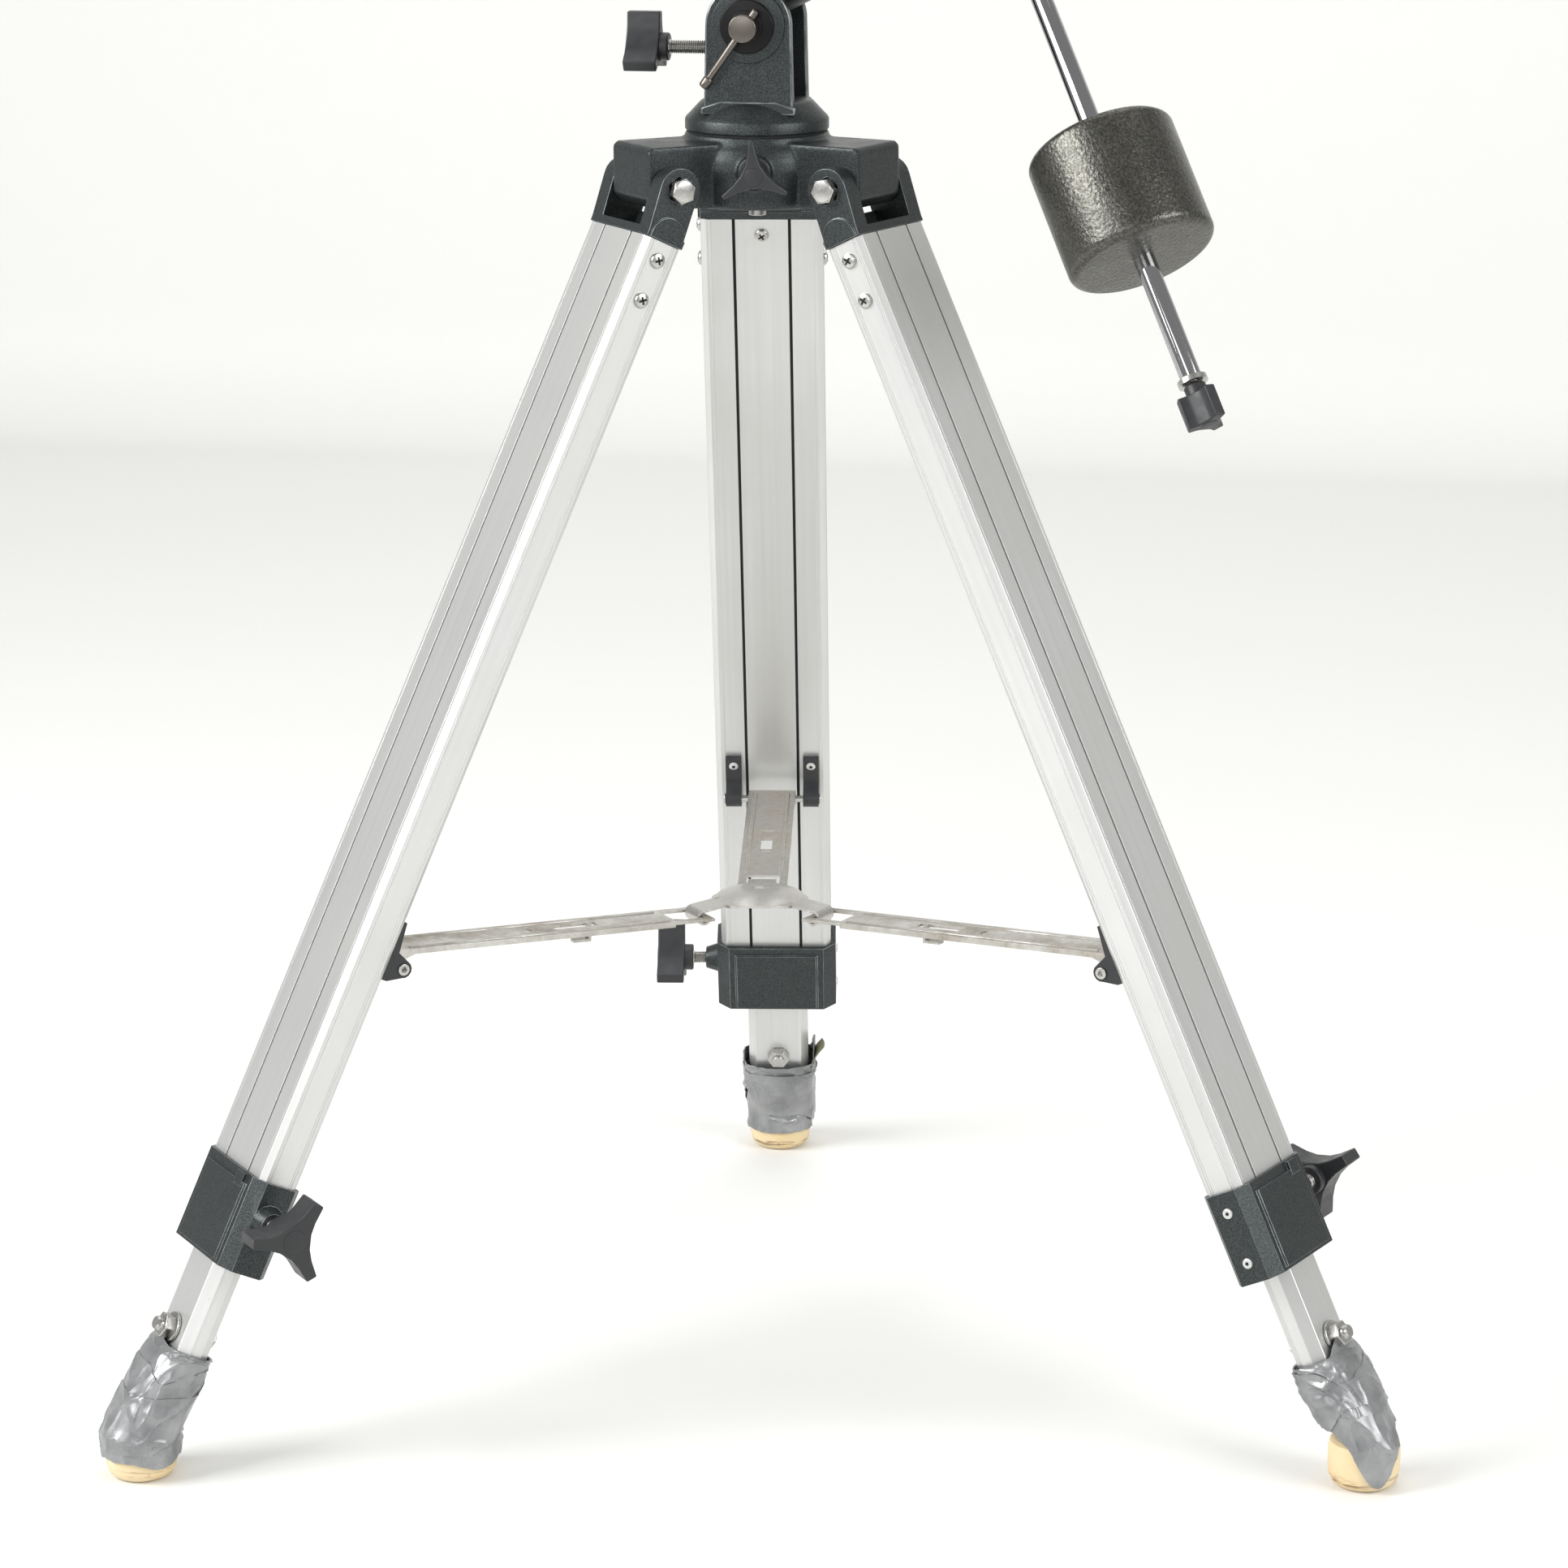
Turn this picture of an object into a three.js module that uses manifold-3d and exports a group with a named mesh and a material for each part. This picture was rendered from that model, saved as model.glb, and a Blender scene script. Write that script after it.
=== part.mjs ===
// Equatorial telescope mount on a three-legged aluminium tripod. Millimetres, +Z up, feet on Z = 0.
// North is +X. Every sub-part is one closed body, and moving sub-parts sit in groups placed at their axes.
import * as THREE from "three";
import { mergeVertices } from "three/addons/utils/BufferGeometryUtils.js";
import Module from "manifold-3d";

const wasm = await Module();
wasm.setup();
const { Manifold, Mesh: SolidMesh } = wasm;
const rad = THREE.MathUtils.degToRad;

// ---- driving dimensions -------------------------------------------------------------------------
const gap = 0.3;                       // running clearance between sub-parts
const splay = rad(25.7);               // leg angle from the vertical
const hingeRadius = 68;                // mount axis to each leg hinge
const legAzimuth = { left: 218.1, right: -21.9, rear: 98.1 };
const legWide = 72;                    // outer leg extrusion, across
const legDeep = 24;                    // outer leg extrusion, inner face to outer face
const legBack = -15;                   // inner face of the extrusion in the leg frame
const legFront = legBack + legDeep;
const legMid = (legBack + legFront) / 2;
const outerTop = -30;                  // extrusion starts this far below the hinge
const clampTop = -603;                 // upper edge of the leg clamp
const clampTall = 54;
const innerWide = 40;                  // inner leg, across flats
const innerDeep = 19.5;
const innerTop = -230;
const innerEnd = -745;
const footCentre = -775;               // middle of the rubber foot along the leg
const footRadius = 20.5;
const footRise = 16;                   // middle of the foot above the floor
const pinDrop = -465;                  // spreader pin along the leg
const pinBack = -27.3;                 // spreader pin in front of the leg's inner face
const armReach = 207;                  // spreader arm, pin to inner end
const armRise = rad(-2.5);             // slope of the arm, inner end lower
const armThick = 1.6;
const armTop = 7;                      // upper face of the arm above the pin
const armHalf = 15;
const plateDrop = -432.4;              // resting face of the spreader plate below the hinge plane
const headArmWide = 46;                // tripod head arm between the yoke ears
const collarHeight = 27;               // azimuth bearing face above the hinge plane
const pivotHeight = 88.2;              // latitude pivot above the hinge plane
const latitude = rad(26.5);
const forkGap = 44;                    // between the fork cheeks
const forkOut = 58;                    // across the fork cheeks
const polarOffset = 18;                // polar axis above the latitude pivot
const decReach = 157.7;                 // latitude pivot to the declination axis, along the polar axis
const hourAngle = rad(63.5);
const weightReach = 214.7;              // polar axis to the centre of the counterweight
const weightTall = 73;
const weightRadius = 42;
const shaftEnd = 327.4;                 // polar axis to the end of the counterweight shaft
const hingeHeight = -footCentre * Math.cos(splay) - legMid * Math.sin(splay) + footRise;

// ---- materials ----------------------------------------------------------------------------------
const paint = (name, color, metalness, roughness) =>
  Object.assign(new THREE.MeshStandardMaterial({ color, metalness, roughness }), { name });
const casting = paint("painted_casting", 0x2d3638, 0.6, 0.4);
const aluminium = paint("anodised_aluminium", 0xc4c6c6, 0.9, 0.35);
const steel = paint("zinc_steel", 0xa8a59c, 0.9, 0.4);
const chrome = paint("chromed_steel", 0xd0d0d0, 1, 0.1);
const plastic = paint("black_plastic", 0x151617, 0, 0.5);
const iron = paint("hammered_iron", 0x37342f, 0.7, 0.4);
const rubber = paint("cream_rubber", 0xe6c88c, 0, 0.8);
const tape = paint("silver_tape", 0x9a9c9e, 0.3, 0.5);
const scale = paint("scale_ring", 0xd8d8d4, 0.8, 0.4);

// ---- solid helpers ------------------------------------------------------------------------------
function solid(geometry) {
  const g = geometry.clone();
  g.deleteAttribute("normal");
  g.deleteAttribute("uv");
  const merged = mergeVertices(g, 1e-4);
  return new Manifold(new SolidMesh({
    numProp: 3,
    vertProperties: new Float32Array(merged.attributes.position.array),
    triVerts: new Uint32Array(merged.index.array),
  }));
}

function surface(body) {
  const mesh = body.getMesh();
  const g = new THREE.BufferGeometry();
  g.setAttribute("position", new THREE.BufferAttribute(new Float32Array(mesh.vertProperties), 3));
  g.setIndex(new THREE.BufferAttribute(new Uint32Array(mesh.triVerts), 1));
  g.computeVertexNormals();
  return g;
}

const join = (...parts) => surface(parts.map(solid).reduce((a, b) => a.add(b)));
const cut = (base, ...tools) => surface(tools.map(solid).reduce((a, b) => a.subtract(b), solid(base)));
const common = (a, b) => surface(solid(a).intersect(solid(b)));

const box = (x, y, z, cx = 0, cy = 0, cz = 0) => new THREE.BoxGeometry(x, y, z).translate(cx, cy, cz);

// Box given by its limits on each axis.
const span = (x0, x1, y0, y1, z0, z1) =>
  box(x1 - x0, y1 - y0, z1 - z0, (x0 + x1) / 2, (y0 + y1) / 2, (z0 + z1) / 2);

// Round features are drawn with 0.6 of their nominal number of sides. Hexagons keep theirs.
const facets = (sides) => (sides < 12 ? sides : Math.round(sides * 0.3) * 2);

// Cylinder or cone from one height to another along Z.
function rodZ(r0, r1, z0, z1, sides = 32) {
  const g = new THREE.CylinderGeometry(r1, r0, z1 - z0, facets(sides));
  return g.rotateX(Math.PI / 2).translate(0, 0, (z0 + z1) / 2);
}

// Cylinder or cone along X and along Y.
const rodX = (r0, r1, x0, x1, sides = 24) => rodZ(r0, r1, x0, x1, sides).rotateY(Math.PI / 2);
const rodY = (r0, r1, y0, y1, sides = 32) => rodZ(r0, r1, y0, y1, sides).rotateX(-Math.PI / 2);

// Closed outline of [x, y] points pushed up along Z.
function slab(points, z0, z1, holes = []) {
  const shape = new THREE.Shape(points.map(([x, y]) => new THREE.Vector2(x, y)));
  shape.holes = holes.map((h) => new THREE.Path(h.map(([x, y]) => new THREE.Vector2(x, y))));
  const g = new THREE.ExtrudeGeometry(shape, { depth: z1 - z0, bevelEnabled: false });
  return g.translate(0, 0, z0);
}

// Outline of [y, z] points pushed along X.
const slabX = (points, x0, x1) => slab(points, x0, x1).applyMatrix4(
  new THREE.Matrix4().makeBasis(new THREE.Vector3(0, 1, 0), new THREE.Vector3(0, 0, 1), new THREE.Vector3(1, 0, 0)));

// Outline of [x, z] points pushed along Y.
const slabY = (points, y0, y1) => slab(points, -y1, -y0).applyMatrix4(
  new THREE.Matrix4().makeBasis(new THREE.Vector3(1, 0, 0), new THREE.Vector3(0, 0, 1), new THREE.Vector3(0, -1, 0)));

const arcPoints = (r, from, to, steps, cx = 0, cy = 0) => Array.from({ length: steps + 1 }, (_, i) => {
  const a = rad(from + ((to - from) * i) / steps);
  return [cx + r * Math.cos(a), cy + r * Math.sin(a)];
});

const turned = (profile, sides = 48) => new THREE.LatheGeometry(
  profile.map(([r, z]) => new THREE.Vector2(r, z)), facets(sides)).rotateX(Math.PI / 2);

// Rectangle with its four corners cut by a by b, centred on cy.
const chamfered = (w, d, a, b, cy = 0) => [
  [-w / 2 + a, cy - d / 2], [w / 2 - a, cy - d / 2], [w / 2, cy - d / 2 + b], [w / 2, cy + d / 2 - b],
  [w / 2 - a, cy + d / 2], [-w / 2 + a, cy + d / 2], [-w / 2, cy + d / 2 - b], [-w / 2, cy - d / 2 + b]];

const hexRod = (flats, x0, x1) => rodX(flats / Math.sqrt(3), flats / Math.sqrt(3), x0, x1, 6);

function piece(parent, name, geometry, material) {
  const mesh = new THREE.Mesh(geometry, material);
  mesh.name = name;
  parent.add(mesh);
}

function frame(parent, name, position = [0, 0, 0], rotation = [0, 0, 0]) {
  const group = new THREE.Group();
  group.name = name;
  group.position.set(...position);
  group.rotation.set(...rotation);
  parent.add(group);
  return group;
}

// ---- shared hand knob: three pointed lobes on a round hub, along -X from the origin ---------------
function starOutline(reach, waist, tip) {
  const points = [];
  for (let lobe = 0; lobe < 3; lobe += 1) {
    const a = rad(90 + lobe * 120);
    const [c, s] = [Math.cos(a), Math.sin(a)];
    const at = (along, side) => [along * c - side * s, along * s + side * c];
    points.push(at(waist * 0.9, -waist * 0.75), at(reach, -tip), at(reach, tip), at(waist * 0.9, waist * 0.75));
  }
  return points;
}

function starKnob({ reach, waist, tip, lobeThick, hubRadius, hubLong, screwRadius, screwLong }) {
  const lobes = slabX(starOutline(reach, waist, tip), -hubLong - lobeThick, -hubLong * 0.55);
  const hub = rodX(hubRadius, hubRadius, -hubLong - 1, 0, 20);
  return join(lobes, hub, rodX(screwRadius, screwRadius, -1, screwLong, 16));
}

// ---- tripod head ----------------------------------------------------------------------------------
function tripodHead() {
  const armProfile = [[20, 23], [78.5, 23], [81, 20.5], [81, -6], [75.5, -12], [20, -14]];
  const arms = Object.values(legAzimuth).map((azimuth) => {
    const bar = slabX(armProfile, -headArmWide / 2, headArmWide / 2);
    const boss = rodX(12.8, 12.8, -headArmWide / 2 - 0.1, headArmWide / 2 + 0.1);
    const withBoss = join(bar, boss.translate(0, hingeRadius, 0));
    const hole = rodX(4.4, 4.4, -40, 40, 16).translate(0, hingeRadius, 0);
    return cut(withBoss, hole).rotateZ(rad(azimuth - 90));
  });
  const hub = turned([[0, -14], [44, -14], [47, -11], [47, 12], [44, 20], [41, 24],
    [41, collarHeight - gap], [0, collarHeight - gap]]);
  const knobBoss = rodX(10, 9, -51, -30, 20).rotateZ(rad(98.1)).translate(0, 0, 8);
  const body = join(hub, ...arms, knobBoss);
  return cut(body, rodZ(5.4, 5.4, -20, 40, 24), rodZ(26, 26, -20, -6, 32),
    rodX(3.4, 3.4, -60, -12, 16).rotateZ(rad(98.1)).translate(0, 0, 8));
}

const retainingBolt = () => join(
  rodZ(5, 5, -22, 41, 24), rodZ(13, 13, -9, -6 - gap, 32), rodZ(9.8, 9.8, -16, -8, 6));

// ---- one tripod leg, leg frame: X across, Y outwards, Z up along the leg, hinge at the origin -----
const sideChamber = (side, clear) => span(
  side * 29 - 5.5 + clear, side * 29 + 5.5 - clear, legBack + 3 + clear, legFront - 3 - clear, -1, 1);

function outerLeg() {
  const corner = 3.2;
  const section = chamfered(legWide, legDeep, corner, corner, legMid);
  const bore = chamfered(innerWide + 2 * gap, innerDeep + 2 * gap, 5, 6.5, legMid);
  const low = clampTop - 32;
  const bar = slab(section, low, outerTop - gap, [bore]);
  const tools = [];
  for (const side of [-1, 1]) {
    tools.push(sideChamber(side, 0).scale(1, 1, 400).translate(0, 0, -330));
    for (const y of [legBack, legFront]) {
      tools.push(span(side * 16.5 - 0.9, side * 16.5 + 0.9, y - 1, y + 1, low - 1, outerTop + 1));
    }
  }
  return cut(bar, ...tools);
}

function yoke() {
  const earIn = headArmWide / 2 + 0.4;
  const ear = [...arcPoints(12.4, -10, 192, 12), [legBack + 0.4, outerTop], [legFront - 0.4, outerTop]];
  const pad = [[7.5, outerTop], ...arcPoints(10.5, 0, 180, 10, -3, -26.5), [-13.5, outerTop]];
  const slotFloor = outerTop + 4.7;
  const parts = [slabX(ear, -legWide / 2, legWide / 2), span(-36, 36, legBack, legFront, outerTop, slotFloor)];
  for (const side of [-1, 1]) {
    parts.push(sideChamber(side, gap).scale(1, 1, 12).translate(0, 0, outerTop - 11.9));
    parts.push(slabX(pad, side * 36.5 - 1, side * 36.5 + 1));
  }
  const tools = [span(-earIn, earIn, -40, 40, slotFloor, 40), rodX(4.4, 4.4, -50, 50, 16)];
  for (const side of [-1, 1]) tools.push(hexRod(14, 32, 45).rotateY(side < 0 ? Math.PI : 0));
  return cut(join(...parts), ...tools);
}

const hingeBolt = () => join(rodX(4, 4, -40, 40, 16), hexRod(13, -40.5, -32 - gap), hexRod(13, 32 + gap, 40.5));

function legClamp() {
  const low = clampTop - clampTall;
  const wide = legWide + 6.6;
  const deep = legDeep + 6.6;
  const body = slab(chamfered(wide, deep, 8, 6, legMid), low, clampTop);
  const band = slab(chamfered(wide - 22, deep + 2.4, 2, 2, legMid), low + 2, clampTop - 6);
  const block = span(-24, -14, legFront + 1, legFront + 5.2, clampTop - 9, clampTop - 1);
  const boss = rodX(10.5, 7, wide / 2 - 3, wide / 2 + 8, 24).rotateY(Math.PI).translate(0, legMid, clampTop - 21);
  const seat = slab(chamfered(legWide + 2 * gap, legDeep + 2 * gap, 3, 3, legMid), clampTop - 32 - gap, clampTop + 1);
  const bore = slab(chamfered(innerWide + 2 * gap, innerDeep + 2 * gap, 5, 6.5, legMid), low - 1, clampTop);
  const tapped = rodX(4 + gap, 4 + gap, -60, -30, 16).translate(0, legMid, clampTop - 21);
  return cut(join(body, band, block, boss), seat, bore, tapped);
}

const clampKnob = () => starKnob({ reach: 21, waist: 8, tip: 3.4, lobeThick: 14, hubRadius: 8.6, hubLong: 9.5,
  screwRadius: 4, screwLong: 18 });

function innerLeg() {
  const section = chamfered(innerWide, innerDeep, 5, 6.5, legMid);
  const hollow = chamfered(innerWide - 6, innerDeep - 5, 3.6, 4.6, legMid);
  return cut(slab(section, innerEnd, innerTop, [hollow]), rodY(4.4, 4.4, -40, 40, 16).translate(0, 0, -704));
}

// Frame standing upright on the floor under the end of the leg, written in the leg frame.
const upright = (g) => g.rotateX(-splay).translate(
  0, legMid - footRise * Math.sin(splay), footCentre - footRise * Math.cos(splay));

const puck = (clear) => upright(turned([[0, 0], [12, 0], [17.5 + clear, 2.2], [20 + clear, 6.5],
  [footRadius + clear, 12], [footRadius + clear, 20 + clear], [14 + clear, 27 + clear], [0, 27 + clear]], 40));

function foot() {
  const plug = slab(chamfered(innerWide - 7, innerDeep - 6, 3, 4, legMid), innerEnd - 0.4, innerEnd + 22);
  const neck = rodZ(15, 15, innerEnd - 20, innerEnd - gap, 40).translate(0, legMid, 0);
  return join(puck(0), neck, plug);
}

const footBolt = () => join(rodY(4, 4, -22, 19, 16), rodY(7.5, 7.5, -18.3, legMid - innerDeep / 2 - gap, 6),
  rodY(7.5, 7.5, legMid + innerDeep / 2 + 1.7, 15, 6),
  rodY(9, 9, legMid + innerDeep / 2 + gap, legMid + innerDeep / 2 + 2, 24)).translate(0, 0, -704);

// Tape wound from the octagonal leg down to the round foot, closed through its own wall.
function footTape() {
  const sides = 24;
  const ring = (point) => Array.from({ length: sides }, (_, i) => {
    const a = (2 * Math.PI * i) / sides;
    return point(Math.cos(a), Math.sin(a));
  });
  const full = (v) => Math.sign(v) * Math.abs(v) ** 0.62;
  const standing = (height) => ring((c, s) => {
    const place = upright(new THREE.BufferGeometry().setAttribute("position",
      new THREE.Float32BufferAttribute([22.4 * c, 22.4 * s, height], 3)));
    return Array.from(place.attributes.position.array);
  });
  const rings = [ring((c, s) => [22.8 * full(c), legMid + 13 * full(s), -713]), standing(26), standing(14)];
  const index = [];
  for (let i = 0; i < sides; i += 1) {
    const j = (i + 1) % sides;
    for (const r of [0, sides]) index.push(r + i, r + sides + j, r + j, r + i, r + sides + i, r + sides + j);
    if (i > 1) index.push(0, i - 1, i, 2 * sides, 2 * sides + i, 2 * sides + i - 1);
  }
  const g = new THREE.BufferGeometry();
  g.setAttribute("position", new THREE.Float32BufferAttribute(rings.flat(2), 3));
  g.setIndex(index);
  const leg = slab(chamfered(innerWide + 1, innerDeep + 1, 5, 6.5, legMid), innerEnd - 0.5, -700);
  const neck = rodZ(15.4, 15.4, innerEnd - 22, innerEnd + 1, 40).translate(0, legMid, 0);
  return cut(g, leg, neck, puck(0.4));
}

function bracket(side) {
  const ear = [[legBack - gap, pinDrop - 9.5], [legBack - gap, pinDrop + 25.5], [legBack - 3.5, pinDrop + 25.5],
    [legBack - 6, pinDrop + 8], ...arcPoints(5.2, 100, 260, 6, pinBack, pinDrop), [legBack - 5, pinDrop - 9.5]];
  const x0 = side > 0 ? 19.8 : -29.8;
  return cut(slabX(ear, x0, x0 + 10), rodX(2.6, 2.6, -40, 40, 12).translate(0, pinBack, pinDrop));
}

// Spreader arm in its own frame: pin at the origin, reaching along -Y, flat side up.
function spreaderArm() {
  const root = -4.5;
  const window = span(-10, 10, -armReach + 5, -armReach + 24, 0, 10);
  const slot = span(-3.5, 3.5, -136, -108, 0, 10);
  const eye = rodZ(4.5, 4.5, 0, 10, 20).scale(1, 0.45, 1).translate(0, -92, 0);
  const sheet = cut(span(-armHalf, armHalf, -armReach, root, armTop - armThick, armTop), window, slot, eye);
  const sides = [-1, 1].flatMap((side) => {
    const x0 = side > 0 ? armHalf - armThick : -armHalf;
    const ear = [...arcPoints(4, 180, 360, 8), [4, 3], [root + 0.2, armTop - 0.3], [-20, armTop - 0.3], [-15, 4.4]];
    return [slabX(ear, x0, x0 + armThick), span(x0, x0 + armThick, -armReach + 26, -14, armTop - 3, armTop - 0.3)];
  });
  const hook = join(span(-2.6, 2.6, -132, -130.4, armTop - 9, armTop - 0.5),
    span(-2.6, 2.6, -132, -121, armTop - 9.8, armTop - 8.2), span(-3.6, 3.6, -132, -130.4, armTop - 1.6, armTop));
  return cut(join(sheet, ...sides, hook), rodX(2.6, 2.6, -40, 40, 12));
}

// Domed plate whose three tabs curl down through the windows of the arms.
function spreaderPlate() {
  const flat = 11;
  const dome = (r) => plateDrop + 10 - 0.0085 * Math.max(r * r - flat * flat, 0);
  const thick = 1.6;
  const radii = [0, flat, 18, 26];
  const cap = turned([...radii.map((r) => [r, dome(r) - thick]), ...radii.map((r) => [r, dome(r)]).reverse()]);
  const bend = (r, from, to) => arcPoints(r, from, to, 8, 41.5, plateDrop - 1.2);
  const tab = [[17, dome(17)], ...bend(4.7, 84, -30), ...bend(3.1, -30, 84), [17, dome(17) - thick]];
  const tabs = Object.values(legAzimuth).map((azimuth) => slabX(tab, -8.5, 8.5).rotateZ(rad(azimuth - 90)));
  const slot = rodZ(5, 5, plateDrop, plateDrop + 20, 24).scale(1, 0.6, 1);
  return cut(join(cap, ...tabs), slot);
}

function buildLeg(parent, side) {
  const turn = frame(parent, `${side}_azimuth`, [0, 0, 0], [0, 0, rad(legAzimuth[side] - 90)]);
  const leg = frame(turn, `${side}_hinge`, [0, hingeRadius, 0], [splay, 0, 0]);
  piece(leg, `${side}_yoke`, yoke(), casting);
  piece(leg, `${side}_hinge_bolt`, hingeBolt(), steel);
  piece(leg, `${side}_outer_leg`, outerLeg(), aluminium);
  piece(leg, `${side}_clamp`, legClamp(), casting);
  const knob = frame(leg, `${side}_clamp_screw`, [-(legWide + 6.6) / 2 - 16.5, legMid, clampTop - 21]);
  piece(knob, `${side}_clamp_knob`, clampKnob(), plastic);
  piece(leg, `${side}_inner_leg`, innerLeg(), aluminium);
  piece(leg, `${side}_foot`, foot(), rubber);
  piece(leg, `${side}_foot_bolt`, footBolt(), steel);
  piece(leg, `${side}_foot_tape`, footTape(), tape);
  piece(leg, `${side}_bracket_a`, bracket(-1), plastic);
  piece(leg, `${side}_bracket_b`, bracket(1), plastic);
  const pin = rodX(2.25, 2.25, -31, 31, 12).translate(0, pinBack, pinDrop);
  piece(leg, `${side}_spreader_pin`, pin, steel);
  const arm = frame(leg, `${side}_arm_pin`, [0, pinBack, pinDrop], [-splay - armRise, 0, 0]);
  piece(arm, `${side}_spreader_arm`, spreaderArm(), steel);
}

// ---- azimuth base and fork, frame origin at the latitude pivot -------------------------------------
const adjustDrop = -15;                // latitude screw below the pivot
const webOut = -25;                    // south face of the fork
const lockRodAt = -41.5;               // lock rod along the latitude axis
const lockRodTilt = rad(35);

function latitudeFork() {
  const seat = collarHeight + gap - pivotHeight;
  const base = turned([[0, seat], [39.5, seat], [41, seat + 1.5], [41, seat + 7], [38, seat + 9.5],
    [31, seat + 17], [0, seat + 17]]);
  const floor = seat + 15;
  const cheek = [[webOut - 0.5, floor], [-webOut - 0.5, floor], ...arcPoints(24.5, 0, 180, 16)];
  const cheeks = cut(slabY(cheek, -forkOut / 2, forkOut / 2), span(-40, 40, -forkGap / 2, forkGap / 2, floor - 1, 40));
  const web = span(webOut, webOut + 6, -forkGap / 2 - 2, forkGap / 2 + 2, floor - 2, -9);
  const bossFront = rodY(21, 21, -forkOut / 2 - 1.8, -forkOut / 2 + 2, 40);
  const bossRear = rodY(21, 21, forkOut / 2 - 2, forkOut / 2 + 1.8, 40);
  return cut(join(base, cheeks, web, bossFront, bossRear), rodY(5.3, 5.3, -50, 50, 20),
    rodX(4.3, 4.3, -40, -15, 16).translate(0, 0, adjustDrop), rodZ(5.3, 5.3, seat - 5, seat + 15.5 - gap * 4, 24));
}

const latitudeBolt = () => cut(join(
  rodY(5, 5, -45, 40, 20), rodY(15.3, 14.6, -forkOut / 2 - 5.4, -forkOut / 2 - 1.8 - gap, 40),
  rodY(7.9, 7.9, -48, -33, 32), rodY(8.6, 8.6, forkOut / 2 + 1.8 + gap, forkOut / 2 + 8.5, 6)),
rodZ(2.4, 2.4, -20, 20, 16).rotateY(lockRodTilt).translate(0, lockRodAt, 0));

const lockRod = () => join(rodZ(2.15, 2.15, -38, 12, 16), rodZ(3.1, 3.1, -41, -34, 16));

// Latitude screw: tip at the origin, pointing north, knob to the south.
function latitudeScrew() {
  const thread = rodX(3.9, 3.9, -36, -3, 16);
  const tip = rodX(2.4, 2.4, -4, 0, 16);
  const knob = starKnob({ reach: 19, waist: 8, tip: 4, lobeThick: 16, hubRadius: 8, hubLong: 8, screwRadius: 3.9,
    screwLong: 2 });
  return join(thread, tip, knob.translate(-34.5, 0, 0));
}

// ---- polar head, frame: X along the polar axis, Z up away from the pivot, origin at the pivot ------
const drumStart = 60;
const drumEnd = 90;
const wormRadial = 33;

function polarHousing() {
  const axis = (g) => g.translate(0, 0, polarOffset);
  const barrel = axis(rodX(21, 21, -12, 56, 40));
  const flare = axis(rodX(21, 34, 50, drumStart, 40));
  const drum = axis(rodX(34, 34, drumStart - 0.5, drumEnd, 40));
  const wormCase = rodY(10, 10, -30, 30, 24).translate(75, 0, polarOffset + wormRadial);
  const lug = slabY([...arcPoints(12, 180, 360, 12), [12, 14], [-8, 14]], -forkGap / 2 + 0.5, forkGap / 2 - 0.5);
  const tail = slabY([[-14, -22], [-3, -22], [2, 0], [-5, 6], [-14, -2]], -10, 10).rotateY(latitude);
  const body = join(barrel, flare, drum, wormCase, lug, tail);
  return cut(body, axis(rodX(9.4, 9.4, -20, 100, 28)), axis(rodX(29, 29, 70, 100, 40)),
    rodY(6.1, 6.1, -40, 40, 20).translate(75, 0, polarOffset + wormRadial), rodY(5.3, 5.3, -40, 40, 20));
}

const polarShaft = () => join(rodX(9, 9, -11.5, 97, 28), rodX(27, 27, 73, 83, 48), rodX(22, 22, 90, 97, 32));
const polarCircle = () => cut(rodX(35, 35, drumEnd + gap, 96.6, 48), rodX(22.4, 22.4, 80, 100, 32));

// Worm along Y with its slow-motion knob on the -Y end.
function worm(half, reach) {
  const knob = join(rodY(11, 12, -reach - 16, -reach, 24), rodY(4, 4, -reach - 1, -half, 16));
  return join(rodY(5.2, 5.2, -half, half, 20), rodY(3.5, 3.5, -half - 8, -half + 1, 16), knob);
}

// ---- declination head, frame: Z along the declination axis towards the saddle, X along the polar axis
function decHousing() {
  const neck = rodX(24, 22, -decReach + 97.3, -16, 40);
  const barrel = rodZ(24, 24, -38, 20, 40);
  const collar = rodZ(14, 23, -52, -37.5, 40);
  const drum = rodZ(31, 31, 14, 40, 40);
  const wormCase = rodY(9, 9, -26, 26, 24).translate(30, 0, 27);
  return cut(join(neck, barrel, collar, drum, wormCase), rodZ(8.4, 8.4, -30, 60, 28), rodZ(26.5, 26.5, 20, 60, 40),
    rodZ(6.3, 6.3, -60, -20, 20), rodY(5.7, 5.7, -40, 40, 20).translate(30, 0, 27));
}

const decShaft = () => join(rodZ(8, 8, -29.5, 46, 28), rodZ(24.3, 24.3, 22, 32, 48), rodZ(16, 16, 38, 46, 32));
const decCircle = () => cut(rodZ(32, 32, 40.3, 45.7, 48), rodZ(16.4, 16.4, 30, 60, 32));

function saddle() {
  const flange = rodZ(29, 29, 46.3, 54, 40);
  const bar = slabY([[-60, 53.8], [60, 53.8], [60, 64], [56, 66], [-56, 66], [-60, 64]], -21, 21);
  const slots = [-42, 42].map((x) => span(x - 7, x + 7, -3.6, 3.6, 40, 80));
  return cut(join(flange, bar), ...slots);
}

const weightShaft = () => join(rodZ(6, 6, -shaftEnd, -30.2, 28), rodZ(8.4, 8.4, -shaftEnd - 2, -shaftEnd + 1.2, 28));

function counterweight() {
  const half = weightTall / 2;
  const body = turned([[0, -half], [weightRadius - 5, -half], [weightRadius - 1.5, -half + 1.6], [weightRadius, -half + 5],
    [weightRadius, half - 5], [weightRadius - 1.5, half - 1.6], [weightRadius - 5, half], [0, half]], 56);
  return cut(body, rodZ(6 + gap, 6 + gap, -60, 60, 28), rodY(4.3, 4.3, 2, 60, 16));
}

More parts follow.
